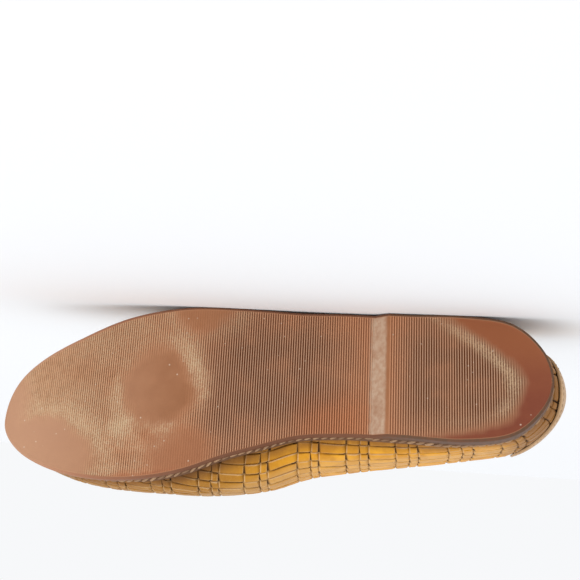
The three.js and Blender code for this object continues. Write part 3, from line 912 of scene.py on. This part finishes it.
class Weave:
    """Strips gathered into one mesh"""

    def __init__(self):
        self.points = []
        self.faces = []
        self.values = {label: [] for label in STRIP_VALUES}
        self.count = 0

    def strip(self, sign, angle, run, ring, level, slope, lee_share=1):
        """One strip: samples by ring places, with the level of its middle and the slope of that level"""
        across, height, edge = ring
        base, normals = wall_surface(sign, angle, run)
        cover = self.cover(sign, angle, run)
        covered = smooth(-COVER_MARGIN, COVER_MARGIN, cover)
        lift = (level - STRIP_MIDDLE) * (1 - COVER_FLATNESS * covered)
        offset = STRIP_MIDDLE + lift + height[None, :] - COVER_DROP * covered
        # Shadow side for painted shade: 1 at edges and slopes that face the heel or the crown
        shadow_side = 0.5 + lee_share * (smooth(LEE_SLOPE, -LEE_SLOPE, slope) - 0.5)
        shadow_side = shadow_side + np.interp(across / np.ptp(across), LEE_PLACES, LEE_SHARES)
        given = {"edge": edge, "tone": luck.random(), "dive": (STRIP_MIDDLE - level) / STRIP_LIFT,
                 "shadow_side": np.clip(shadow_side, 0, 1), "foot": foot_run(sign, angle).reshape(run.shape) - run,
                 "cover": cover}
        for label, numbers in given.items():
            self.values[label].append(np.broadcast_to(numbers, run.shape).ravel())
        self.points.append((base + normals * offset[..., None]).reshape(-1, 3))
        self.faces.extend(tube_faces(*run.shape, self.count))
        self.count += run.size

    @staticmethod
    def cover(sign, angle, run):
        """How far a point lies under the heel counter, in millimetres past its edge"""
        foot = run_at_height(sign, angle, counter_foot(angle)).reshape(run.shape)
        return np.minimum(foot - run, COUNTER_LENGTH - outline_x(angle, FEATHER_INSET))

    def piece(self, name):
        values = {label: np.concatenate(parts) for label, parts in self.values.items()}
        return new_mesh(name, np.concatenate(self.points), self.faces, values)


def strip_ends(sign, spots, over_crown):
    """Runs where a crosswise strip starts and ends, at each of its places"""
    angle = np.interp(spots, WEAVE_RUNS, WEAVE_ANGLES)
    outer = foot_run(sign, angle)
    if over_crown:
        return -foot_run(-sign, angle), outer
    inner = top_run(sign, angle)
    for _ in range(COLLAR_TRIES):
        inner = top_run(sign, slanted_angle(spots, sign, inner))
    return inner, outer


def make_cross_strips():
    weave = Weave()
    for index, (low, high) in enumerate(zip(CROSS_EDGES, CROSS_EDGES[1:])):
        ring = strip_ring(high - low - CROSS_STRIP_SLACK)
        places = (low + high) / 2 + ring[0]
        spots = np.abs(places)
        side = np.where(places < 0, -1, 1)
        round_heel = low < 0
        over_crown = high > THROAT_RUN
        for sign in (side,) if round_heel or over_crown else (side, -side):
            inner, outer = strip_ends(sign, spots, over_crown)
            length = outer.max() - inner.min()
            steps = max(math.ceil(length / SAMPLE_RUN), LEAST_STEPS)
            share = np.linspace(0, 1, steps + 1)[:, None]
            run = np.clip(inner.min() + share * length, inner, outer)
            signs = sign * np.where(run < 0, -1, 1)
            angles = slanted_angle(np.broadcast_to(spots, run.shape), signs, run)
            wander = luck.normal(0, CROSS_WANDER, (len(share), 1))
            wave = (-1) ** index * over_under(run / LENGTH_STRIP_PITCH)
            level = STRIP_MIDDLE + STRIP_LIFT * wave + wander
            slope = np.gradient(wave, axis=0) * np.sign(run)
            weave.strip(signs, angles, np.abs(run), ring, level, slope, CROSS_LEE)
    return weave.piece("strips_across")


def phase_along(spot):
    """Phase of the crosswise strips along the weave: whole at their middles, halves at the boundaries"""
    return np.interp(spot, CROSS_EDGES, np.arange(len(CROSS_EDGES)) - 0.5)


def stretches(inside):
    """First and past-the-last index of each unbroken stretch of true values"""
    marks = np.diff(np.concatenate(([0], inside.astype(int), [0])))
    return list(zip(np.flatnonzero(marks == 1), np.flatnonzero(marks == -1)))


def make_length_strips():
    weave = Weave()
    ring = strip_ring(LENGTH_STRIP_WIDTH)
    spots = np.arange(0, CROSS_EDGES[-1], LENGTH_SAMPLE_RUN)
    angles = np.interp(spots, WEAVE_RUNS, WEAVE_ANGLES)
    feet = np.linspace(0, WEAVE_RUNS[-1], WEAVE_SAMPLES)
    rows = [(0, 1)] + [(number, sign) for number in range(1, ROW_COUNT) for sign in (1, -1)]
    for number, sign in rows:
        middle = number * LENGTH_STRIP_PITCH
        foot = foot_run(sign, angles)
        top = top_run(sign, angles)
        if number == 0:
            top = np.where(angles >= THROAT, -LENGTH_STRIP_PITCH, LENGTH_STRIP_PITCH)
        slanted_feet = feet + forward_slant(feet, sign, np.full(len(feet), middle))
        wave = over_under(phase_along(np.interp(spots, slanted_feet, feet))) * (-1) ** (number + 1)
        inside = (middle > top - ROW_REACH) & (middle < foot + ROW_REACH)
        for first, last in stretches(inside):
            if last - first < LEAST_SAMPLES:
                continue
            keep = slice(first, last)
            sway = spots[keep] / ROW_WAVE + luck.uniform(0, 2 * np.pi)
            sway = ROW_UNEVENNESS * np.sin(sway) * np.sin(ROW_BEAT * sway + number)
            run = middle + sway[:, None] + ring[0][None, :]
            run = np.clip(run, top[keep, None], foot[keep, None])
            signs = sign * np.where(run < 0, -1, 1)
            angle = np.broadcast_to(angles[keep, None], run.shape)
            wander = luck.normal(0, LENGTH_WANDER, last - first)
            level = STRIP_MIDDLE + STRIP_LIFT * wave[keep] + wander
            slope = np.gradient(wave[keep])
            weave.strip(signs, angle, np.abs(run), ring, level[:, None], slope[:, None])
    return weave.piece("strips_along")


# Where the strips change along the shoe, on the frame's own axis in metres, and above the wall's foot in
# millimetres
WEAVE_FRONT = (-0.025, 0.03)
WEAVE_BACK = (-0.117, -0.095)
SOLE_SHADOW_END = (0.035, 0.065)
CREST_START = (9, 17)
CREST_END = (24, 36)
CREST_SHIFT = 6
FOOT_DIRT_AND_SHADE = (1.5, 11)
SOLE_SHADOW_HEIGHTS = (1, 9)
COUNTER_SHADOW = (-2.4, -0.2)
HONEY = {
    "dark strip": colour(0.62, 0.262, 0.008),
    "bright strip": colour(0.82, 0.380, 0.020),
    "clouds": colour(0.54, 0.220, 0.008),
    # painted shade towards the front
    "front": colour(0.31, 0.132, 0.015),
    "flecks": colour(0.80, 0.44, 0.08),
    "cut edge and highlight": colour(0.63, 0.41, 0.2),
    "painted_sheen": colour(0.6, 0.39, 0.18),
    "back": colour(0.25, 0.105, 0.026),
    "foot dirt and shade": colour(0.25, 0.098, 0.016),
    "painted sole shadow": colour(0.07, 0.024, 0.006),
    "painted gap shade": colour(0.04, 0.015, 0.004),
    "under the counter": colour(0.04, 0.017, 0.007),
}


def strip_finish():
    """Honey-yellow strip leather: a slight gloss, pale cut edges with a painted highlight, a painted sheen,
    painted shade in the gaps, under the counter and at the sole, where some dirt lies too
    """
    material, place, feed = new_finish("honey_strip_leather")
    edge, tone, dive, shadow_side, foot, cover = (place.attribute(label) for label in STRIP_VALUES)
    clouds = place.noise(120, 4)
    fine = place.noise(900, 4)
    along = place.axis("X")
    front = along.between(*WEAVE_FRONT)

    # Leather, with painted shade towards the front and a painted sheen along its crest
    body = tone.mix(HONEY["dark strip"], HONEY["bright strip"])
    body = clouds.between(0.35, 0.75).mix(body, HONEY["clouds"])
    # Painted shade: the strips darken towards the front
    body = (front * 0.85).mix(body, HONEY["front"])
    body = (fine.between(0.55, 0.75) * 0.2).mix(body, HONEY["flecks"])
    # Pale raw cut edges with a painted highlight: paler where they face the toe or the sole, less on the
    # shadow side
    rim = edge.between(0.12, 0.75) * (1 - 0.7 * shadow_side)
    body = (rim * 0.85).mix(body, HONEY["cut edge and highlight"])
    # Painted sheen: the strips are paler in a band between about 9 and 36 mm above the wall's foot
    painted_sheen = (foot - CREST_SHIFT * front).between(*CREST_START) * (1 - foot.between(*CREST_END))
    body = (painted_sheen * 0.34).mix(body, HONEY["painted_sheen"])
    body = ((1 - along.between(*WEAVE_BACK)) * 0.85).mix(body, HONEY["back"])

    # Dirt and painted shade at the sole, painted shade in the gaps and a painted shadow under the counter's
    # hem
    # Dirt with painted shade: the strips darken towards the sole
    low = 1 - foot.between(*FOOT_DIRT_AND_SHADE)
    body = (low * (0.45 + 0.55 * clouds.between(0.2, 0.6)) * 0.85).mix(body, HONEY["foot dirt and shade"])
    # Painted shadow of the sole's overhang on the lowest strips, strongest under the ball
    sole_shadow = 1 - foot.between(*SOLE_SHADOW_HEIGHTS)
    sole_shadow = sole_shadow * (0.12 + 0.68 * front * (1 - along.between(*SOLE_SHADOW_END)))
    body = sole_shadow.mix(body, HONEY["painted sole shadow"])
    # Painted shade in the gaps where the strips dive under each other, darker on the shadow side
    under = dive.between(-0.9, -0.15) * (0.3 + 0.7 * shadow_side.between(0.4, 0.8))
    body = (under * 0.97).mix(body, HONEY["painted gap shade"])
    # Painted shadow along the heel counter's hem
    body = (cover.between(*COUNTER_SHADOW) * 0.9).mix(body, HONEY["under the counter"])

    roughness = 0.43 + 0.25 * rim + 0.3 * under + 0.16 * (clouds - 0.5)
    relief = fine * 0.7 + place.cells(1600) * 0.5
    feed(base_color=body, roughness=roughness, specular_ior_level=0.17, normal=relief.bump(0.3, 0.06))
    return material


# Lining behind the strips
LINING_DEPTH = 1.5
LINING_THICKNESS = 1.15
LINING_COLUMNS = 150
LINING_ROWS = 16
LINING = {
    "pale": colour(0.36, 0.21, 0.10),
    "dark": colour(0.27, 0.145, 0.065),
    "flecks": colour(0.45, 0.30, 0.17),
}


def make_lining():
    angles = np.linspace(0, np.pi, LINING_COLUMNS)
    last_open = int(np.argmin(np.abs(angles - THROAT)))
    angles[last_open] = THROAT
    shares = np.concatenate((np.linspace(1, 0, LINING_ROWS), np.linspace(0, 1, LINING_ROWS)))
    signs = np.concatenate((-np.ones(LINING_ROWS), np.ones(LINING_ROWS)))

    def place(column, row):
        sign = signs[row]
        angle = angles[column]
        top = top_run(sign, angle)
        run = top + shares[row] * (foot_run(sign, angle) - top)
        return wall_point(sign, angle, run, LINING_DEPTH), {"column": column, "row": row}

    piece = shaped_grid("upper_lining", LINING_COLUMNS, 2 * LINING_ROWS, place)
    open_collar(piece, last_open)
    close_up(piece)
    apply_modifier(piece, "SOLIDIFY", thickness=LINING_THICKNESS * MM, offset=-1, use_even_offset=False)
    shade(piece, LEATHER_CREASE)
    return piece


def open_collar(piece, last_open):
    """Takes away the faces that span the collar's opening, up to a last column"""
    columns = np.empty(len(piece.data.vertices))
    rows = np.empty(len(piece.data.vertices))
    piece.data.attributes["column"].data.foreach_get("value", columns)
    piece.data.attributes["row"].data.foreach_get("value", rows)
    make_active(piece)
    bpy.ops.object.mode_set(mode="EDIT")
    bpy.ops.mesh.select_all(action="DESELECT")
    bpy.ops.object.mode_set(mode="OBJECT")
    middle = {LINING_ROWS - 1, LINING_ROWS}
    for face in piece.data.polygons:
        corners = list(face.vertices)
        spans = {int(rows[i]) for i in corners} == middle
        face.select = spans and max(columns[i] for i in corners) <= last_open
    bpy.ops.object.mode_set(mode="EDIT")
    bpy.ops.mesh.delete(type="FACE")
    bpy.ops.object.mode_set(mode="OBJECT")


def lining_finish():
    """Tan lining leather, darkened by wear"""
    material, place, feed = new_finish("tan_lining_leather")
    clouds = place.noise(60, 4)
    fine = place.noise(1100)
    body = clouds.between(0.3, 0.7).mix(LINING["pale"], LINING["dark"])
    body = (fine.between(0.5, 0.8) * 0.3).mix(body, LINING["flecks"])
    feed(base_color=body, roughness=0.62 + 0.2 * (fine - 0.5), normal=fine.bump(0.25, 0.06))
    return material


# Insole
INSOLE_ROWS = 17
INSOLE_COLUMNS = 90
INSOLE_EDGE = 0.8
INSOLE_DISH = 0.7
# Prints of a foot's heel and ball: middle and half sizes
FOOT_PRINTS = ((36, 0, 30, 20), (176, -8, 28, 30))
SOCK = {
    "pale": colour(0.47, 0.30, 0.165),
    "dark": colour(0.39, 0.235, 0.12),
    "print": colour(0.22, 0.12, 0.06),
}


def make_insole():
    depth = FEATHER_INSET + WALL + INSOLE_GAP
    angles = np.linspace(0, np.pi, INSOLE_COLUMNS)
    across = np.linspace(0, 1, INSOLE_ROWS)
    # The ring is open along the inner edge, which faces the wall
    ring = [(False, share) for share in across] + [(True, share) for share in across[::-1]]
    tops, shares = np.array(ring).T

    def place(column, row):
        angle = angles[column]
        on_top = tops[row]
        share = shares[row]
        rim = depth + INSOLE_EDGE * on_top
        x = outline_x(angle, rim)
        outer = outline_y(1, angle, rim)
        inner = outline_y(-1, angle, rim)
        y = inner + share * (outer - inner)
        dish = INSOLE_DISH * np.sin(np.pi * share) * np.sin(angle)
        z = sole_top(x) + SEAT_GAP + on_top * (INSOLE_THICKNESS - dish)
        prints = [np.hypot((x - mid_x) / length, (y - mid_y) / width)
                  for mid_x, mid_y, length, width in FOOT_PRINTS]
        return np.stack((x, y, z), axis=1), {"print": 1 - np.minimum(*prints)}

    return merged_grid("insole_sock", INSOLE_COLUMNS, len(ring), place, LEATHER_CREASE)


def insole_finish():
    """Natural leather sock with the darker prints of a foot"""
    material, place, feed = new_finish("natural_insole_leather")
    prints = place.attribute("print")
    clouds = place.noise(55, 4)
    fine = place.noise(1000)
    body = clouds.mix(SOCK["pale"], SOCK["dark"])
    body = (prints.between(-0.1, 0.7) * 0.6).mix(body, SOCK["print"])
    feed(base_color=body, roughness=0.55 + 0.2 * (clouds - 0.5), normal=fine.bump(0.2, 0.06))
    return material


# Heel counter
COUNTER_COLUMNS = 81
COUNTER_ROWS = 21
COUNTER_BEVEL = 0.35
COUNTER_TUCK = 0.2
COUNTER_END = plan_angle(COUNTER_LENGTH - FEATHER_INSET)
HEEL_MIDDLE = (60, -1, 40)
TAN = {
    "pale": colour(0.58, 0.365, 0.185),
    "dark": colour(0.46, 0.275, 0.13),
    "flecks": colour(0.64, 0.44, 0.25),
}


def make_counter():
    angles = np.linspace(-COUNTER_END, COUNTER_END, COUNTER_COLUMNS)
    shares = np.linspace(0, 1, COUNTER_ROWS)

    def place(column, row):
        angle = np.abs(angles[column])
        sign = np.where(angles[column] < 0, -1, 1)
        top = top_run(sign, angle) - COUNTER_TUCK
        foot = run_at_height(sign, angle, counter_foot(angle))
        run = top + shares[row] * (foot - top)
        base, normals = wall_surface(sign, angle, run)
        return base + normals * (COUNTER_GAP + COUNTER_THICKNESS), {}

    piece = shaped_grid("counter_leather", COUNTER_COLUMNS, COUNTER_ROWS, place)
    face_away(piece)
    apply_modifier(piece, "SOLIDIFY", thickness=COUNTER_THICKNESS * MM, offset=-1, use_even_offset=True)
    apply_modifier(piece, "BEVEL", width=COUNTER_BEVEL * MM, segments=2, limit_method="ANGLE",
                   angle_limit=math.radians(LEATHER_CREASE))
    shade(piece, LEATHER_CREASE)
    return piece


def face_away(piece):
    """Turns an open sheet's faces away from the middle of the shoe"""
    centre = Vector(lay_down(HEEL_MIDDLE))
    away = sum((face.center - centre).dot(face.normal) for face in piece.data.polygons)
    if away < 0:
        piece.data.flip_normals()


def smooth_leather_finish():
    """Smooth tan leather with a fine grain"""
    material, place, feed = new_finish("smooth_tan_leather")
    clouds = place.noise(70, 4)
    fine = place.noise(1000)
    body = clouds.between(0.3, 0.7).mix(TAN["pale"], TAN["dark"])
    body = (fine.between(0.55, 0.8) * 0.4).mix(body, TAN["flecks"])
    relief = place.cells(1300) * 0.6 + fine * 0.6
    feed(base_color=body, roughness=0.5 + 0.2 * (clouds - 0.5), normal=relief.bump(0.3, 0.07))
    return material


# Collar piping
PIPING_SIDES = 14
RIM_COLUMNS = 110
BELOW_RIM = 2


def collar_line():
    """Middle line of the piping with its outward and upward directions, once round the collar"""
    angle = THROAT * np.sin(np.linspace(0, 1, RIM_COLUMNS) * np.pi / 2)
    both = np.concatenate((angle, angle[-2:0:-1]))
    sign = np.concatenate((np.ones(RIM_COLUMNS), -np.ones(RIM_COLUMNS - 2)))
    top = top_run(sign, both)
    outside = wall_point(sign, both, top)
    inside = wall_point(sign, both, top, WALL)
    below = wall_point(sign, both, top + BELOW_RIM)
    middle = (outside + inside) / 2
    along = unit(np.roll(middle, -1, axis=0) - np.roll(middle, 1, axis=0))
    outwards = square_to(outside - inside, along)
    upwards = np.cross(along, outwards)
    upwards *= np.sign((upwards * (outside - below)).sum(axis=1, keepdims=True))
    return middle + upwards * (SEAT_GAP + PIPING_RADIUS), outwards, upwards


def make_piping():
    middle, outwards, upwards = collar_line()
    turns = np.linspace(0, 2 * np.pi, PIPING_SIDES + 1)

    def place(column, row):
        at = column % len(middle)
        turn = turns[row % PIPING_SIDES][:, None]
        return middle[at] + PIPING_RADIUS * (np.cos(turn) * outwards[at] + np.sin(turn) * upwards[at]), {}

    return merged_grid("piping_leather", len(middle) + 1, PIPING_SIDES + 1, place, ROUND_CREASE)


# Rand and stitches
SEAM_END = np.pi - 0.05
SEAM_COLUMNS = 220
# Towards the toe the rand and its stitches lie closer to the wall, behind the sole's edge
SEAM_FADE = (165, 205)
SEAM_FADE_SHARE = 0.75
# Section of the rand: run above the wall's foot, height over the wall's face
RAND_SECTION = np.array(((0, 0), (0, 0.85), (0.5, 1.2), (2.1, 1.2), (2.7, 0.9), (2.7, 0)))
STITCH_SIDES = 6
STITCH_UNEVENNESS = 5
STITCH_RINGS = (0, 0.18, 0.5, 0.82, 1)
STITCH_SWELL = (0.25, 0.85, 1, 0.85, 0.25)
STITCH_SINK = 0.7
STITCH_REACH = 0.001
DIRECTION_STEP = 0.5
SEAM_STITCH = {"pitch": 3.8, "length": 5.2, "radius": 0.7, "slant": 18, "above": 1.4, "height": 1.3}
COUNTER_STITCH = {"pitch": 2.6, "length": 2, "radius": 0.19, "slant": 6, "hem": 1.9, "sunk": 0.06}
COUNTER_STITCH_END = 0.985 * COUNTER_END
COUNTER_STITCH_COLUMNS = 300
RAND = {"dark": colour(0.1, 0.043, 0.019), "pale": colour(0.185, 0.09, 0.042)}
THREAD = {
    "dark": colour(0.2, 0.1, 0.044),
    "pale": colour(0.41, 0.242, 0.124),
    "soiled": colour(0.22, 0.12, 0.06),
}


def stitch_mesh(name, line, normals, stitch):
    """A row of small bent spindles at even steps along a line with outward normals"""
    middles, along, outwards = even_steps(line, normals, stitch["pitch"])
    side = np.cross(outwards, along)
    slant = np.radians(luck.normal(stitch["slant"], STITCH_UNEVENNESS, (len(middles), 1)))
    lie = along * np.cos(slant) + side * np.sin(slant)
    over = np.cross(lie, outwards)
    turns = np.arange(STITCH_SIDES) / STITCH_SIDES * 2 * np.pi
    rings = []
    for share, swell in zip(STITCH_RINGS, STITCH_SWELL):
        centre = middles + lie * (share - 0.5) * stitch["length"]
        centre = centre + outwards * stitch["radius"] * (math.sin(share * np.pi) - STITCH_SINK)
        radius = stitch["radius"] * swell
        ring = [centre + radius * (math.cos(turn) * outwards + math.sin(turn) * over) for turn in turns]
        rings.append(np.stack(ring, axis=1))
    points = np.stack(rings, axis=1).reshape(-1, 3)
    per_stitch = len(STITCH_RINGS) * STITCH_SIDES
    faces = []
    for start in range(0, len(points), per_stitch):
        faces.extend(tube_faces(len(STITCH_RINGS), STITCH_SIDES, start))
    tone = np.repeat(luck.random(len(middles)), per_stitch)
    piece = new_mesh(name, points, faces, {"tone": tone})
    close_up(piece, STITCH_REACH)
    shade(piece, ROUND_CREASE)
    return piece


def even_steps(line, normals, pitch):
    """Points at even steps along a line, with the line's direction and outward normal at each"""
    runs = np.concatenate(([0], np.cumsum(np.linalg.norm(np.diff(line, axis=0), axis=1))))
    count = round(runs[-1] / pitch)
    spots = (np.arange(count) + 0.5) * runs[-1] / count

    def at(values, places):
        return np.stack([np.interp(places, runs, values[:, k]) for k in range(3)], axis=1)

    along = unit(at(line, spots + DIRECTION_STEP) - at(line, spots - DIRECTION_STEP))
    return at(line, spots), along, square_to(at(normals, spots), along)


def seam_path():
    """Plan angles, sides and foot runs once round the foot of the upper"""
    angle = np.linspace(0, SEAM_END, SEAM_COLUMNS)
    both = np.concatenate((angle, angle[::-1]))
    sign = np.concatenate((np.ones(SEAM_COLUMNS), -np.ones(SEAM_COLUMNS)))
    return both, sign, foot_run(sign, both)


def seam_share(angle):
    """Share of the seam's full height at plan angles"""
    return 1 - SEAM_FADE_SHARE * smooth(*SEAM_FADE, outline_x(angle, FEATHER_INSET))


def make_rand():
    """Narrow dark leather band that covers the strips' ends along the sole"""
    angle, sign, foot = seam_path()

    def place(column, row):
        above, height = RAND_SECTION[row % len(RAND_SECTION)].T
        base, normals = wall_surface(sign[column], angle[column], np.maximum(foot[column] - above, 0))
        return base + normals * (height * seam_share(angle[column]))[:, None], {}

    return merged_grid("seam_rand", len(angle), len(RAND_SECTION) + 1, place, LEATHER_CREASE)


def make_seam_stitches():
    """Slanting stitches on the rand, between sole and upper"""
    angle, sign, foot = seam_path()
    base, normals = wall_surface(sign, angle, np.maximum(foot - SEAM_STITCH["above"], 0))
    line = base + normals * (SEAM_STITCH["height"] * seam_share(angle))[:, None]
    return stitch_mesh("seam_stitches", line, normals, SEAM_STITCH)


def make_counter_stitches():
    """Stitches along the heel counter's lower edge"""
    signed = np.linspace(-COUNTER_STITCH_END, COUNTER_STITCH_END, COUNTER_STITCH_COLUMNS)
    sign = np.where(signed < 0, -1, 1)
    angle = np.abs(signed)
    run = run_at_height(sign, angle, counter_foot(angle)) - COUNTER_STITCH["hem"]
    run = np.maximum(run, top_run(sign, angle) + COUNTER_STITCH["hem"])
    base, normals = wall_surface(sign, angle, run)
    line = base + normals * (COUNTER_GAP + COUNTER_THICKNESS - COUNTER_STITCH["sunk"])
    return stitch_mesh("counter_stitches", line, normals, COUNTER_STITCH)


def rand_finish():
    """Dark brown leather of the rand"""
    material, place, feed = new_finish("dark_rand_leather")
    fine = place.noise(1000)
    body = place.noise(150, 4).mix(RAND["dark"], RAND["pale"])
    roughness = 0.6 + 0.2 * (fine - 0.5)
    feed(base_color=body, roughness=roughness, specular_ior_level=0.25, normal=fine.bump(0.3, 0.08))
    return material


def thread_finish():
    """Waxed tan thread"""
    material, place, feed = new_finish("waxed_tan_thread")
    fine = place.noise(700)
    body = place.attribute("tone").mix(THREAD["dark"], THREAD["pale"])
    body = (fine.between(0.5, 0.75) * 0.5).mix(body, THREAD["soiled"])
    feed(base_color=body, roughness=0.6, normal=fine.bump(0.4, 0.1))
    return material


# Stage: floor, light and camera
FLOOR_SIZE = 60
FLOOR_COLOUR = colour(0.885, 0.895, 0.91)
SUN_WIDTH = math.radians(50)
SUN_STRENGTH = 0.5
SUN_AIM = (-0.25, 0.5, -1)
FRONT_PLACE = (0.65, -1.15, 0.2)
FRONT_AIM = (0, 0, 0.04)
FRONT_SIZE = 0.8
FRONT_POWER = 5
BACKING_COLOUR = colour(0.93, 0.94, 0.955)
FOCAL_PIXELS = 1000
FRAME_PIXELS = 580
SENSOR = 36
NEAREST = 0.01
EYE = np.array((28.7, -106.1, -428.8))
EYE_TILT = math.radians(19)
EYE_YAW = math.radians(11)
EYE_ROLL = math.radians(-0.86)


def make_camera():
    """The photograph's camera, given in the shoe's own frame"""
    level = math.cos(EYE_YAW)
    forward = np.array((math.sin(EYE_YAW), level * math.sin(EYE_TILT), level * math.cos(EYE_TILT)))
    upright = np.array((0, math.cos(EYE_TILT), -math.sin(EYE_TILT)))
    right = math.cos(EYE_ROLL) * np.cross(forward, upright) + math.sin(EYE_ROLL) * upright
    axes = LAY @ np.stack((right, np.cross(right, forward), -forward), axis=1)
    camera = bpy.data.objects.new("camera", bpy.data.cameras.new("camera"))
    camera.data.sensor_width = SENSOR
    camera.data.lens = FOCAL_PIXELS / FRAME_PIXELS * SENSOR
    camera.data.clip_start = NEAREST
    camera.matrix_world = Matrix.Translation(lay_down(EYE)) @ Matrix(axes.tolist()).to_4x4()
    bpy.context.scene.collection.objects.link(camera)
    bpy.context.scene.camera = camera


def make_floor():
    bpy.ops.object.select_all(action="DESELECT")
    bpy.ops.mesh.primitive_plane_add(size=FLOOR_SIZE)
    floor = bpy.context.object
    floor.name = "floor"
    material, _, feed = new_finish("pale_floor")
    feed(base_color=FLOOR_COLOUR, roughness=0.9)
    floor.data.materials.append(material)


def make_light(name, kind, power, direction):
    """A light of a kind, turned to a direction"""
    light = bpy.data.objects.new(name, bpy.data.lights.new(name, kind))
    light.data.energy = power
    light.rotation_euler = Vector(direction).to_track_quat("-Z", "Y").to_euler()
    bpy.context.scene.collection.objects.link(light)
    return light


def make_lights():
    """A broad even light from above for the whole floor, and a soft one from the front"""
    overhead = make_light("overhead", "SUN", SUN_STRENGTH, SUN_AIM)
    overhead.data.angle = SUN_WIDTH
    front = make_light("front", "AREA", FRONT_POWER, Vector(FRONT_AIM) - Vector(FRONT_PLACE))
    front.location = FRONT_PLACE
    front.data.size = FRONT_SIZE


def make_backing():
    """White studio backing, which also gives the soft fill"""
    world = bpy.data.worlds.new("studio")
    world.use_nodes = True
    world.node_tree.nodes["Background"].inputs["Color"].default_value = BACKING_COLOUR
    bpy.context.scene.world = world
    bpy.context.scene.view_settings.view_transform = "Standard"


make_camera()
dress(make_outsole(), rubber_finish(), "sole_rubber", "outsole")
strip_leather = strip_finish()
dress(make_cross_strips(), strip_leather, "woven_leather", "upper")
dress(make_length_strips(), strip_leather, "woven_leather", "upper")
dress(make_lining(), lining_finish(), "woven_leather", "upper")
dress(make_insole(), insole_finish(), "insole_leather", "insole")
smooth_leather = smooth_leather_finish()
dress(make_counter(), smooth_leather, "smooth_leather", "heel_counter")
dress(make_piping(), smooth_leather, "smooth_leather", "collar_piping")
dress(make_rand(), rand_finish(), "smooth_leather")
thread = thread_finish()
dress(make_seam_stitches(), thread, "smooth_leather")
dress(make_counter_stitches(), thread, "smooth_leather")
make_floor()
make_lights()
make_backing()
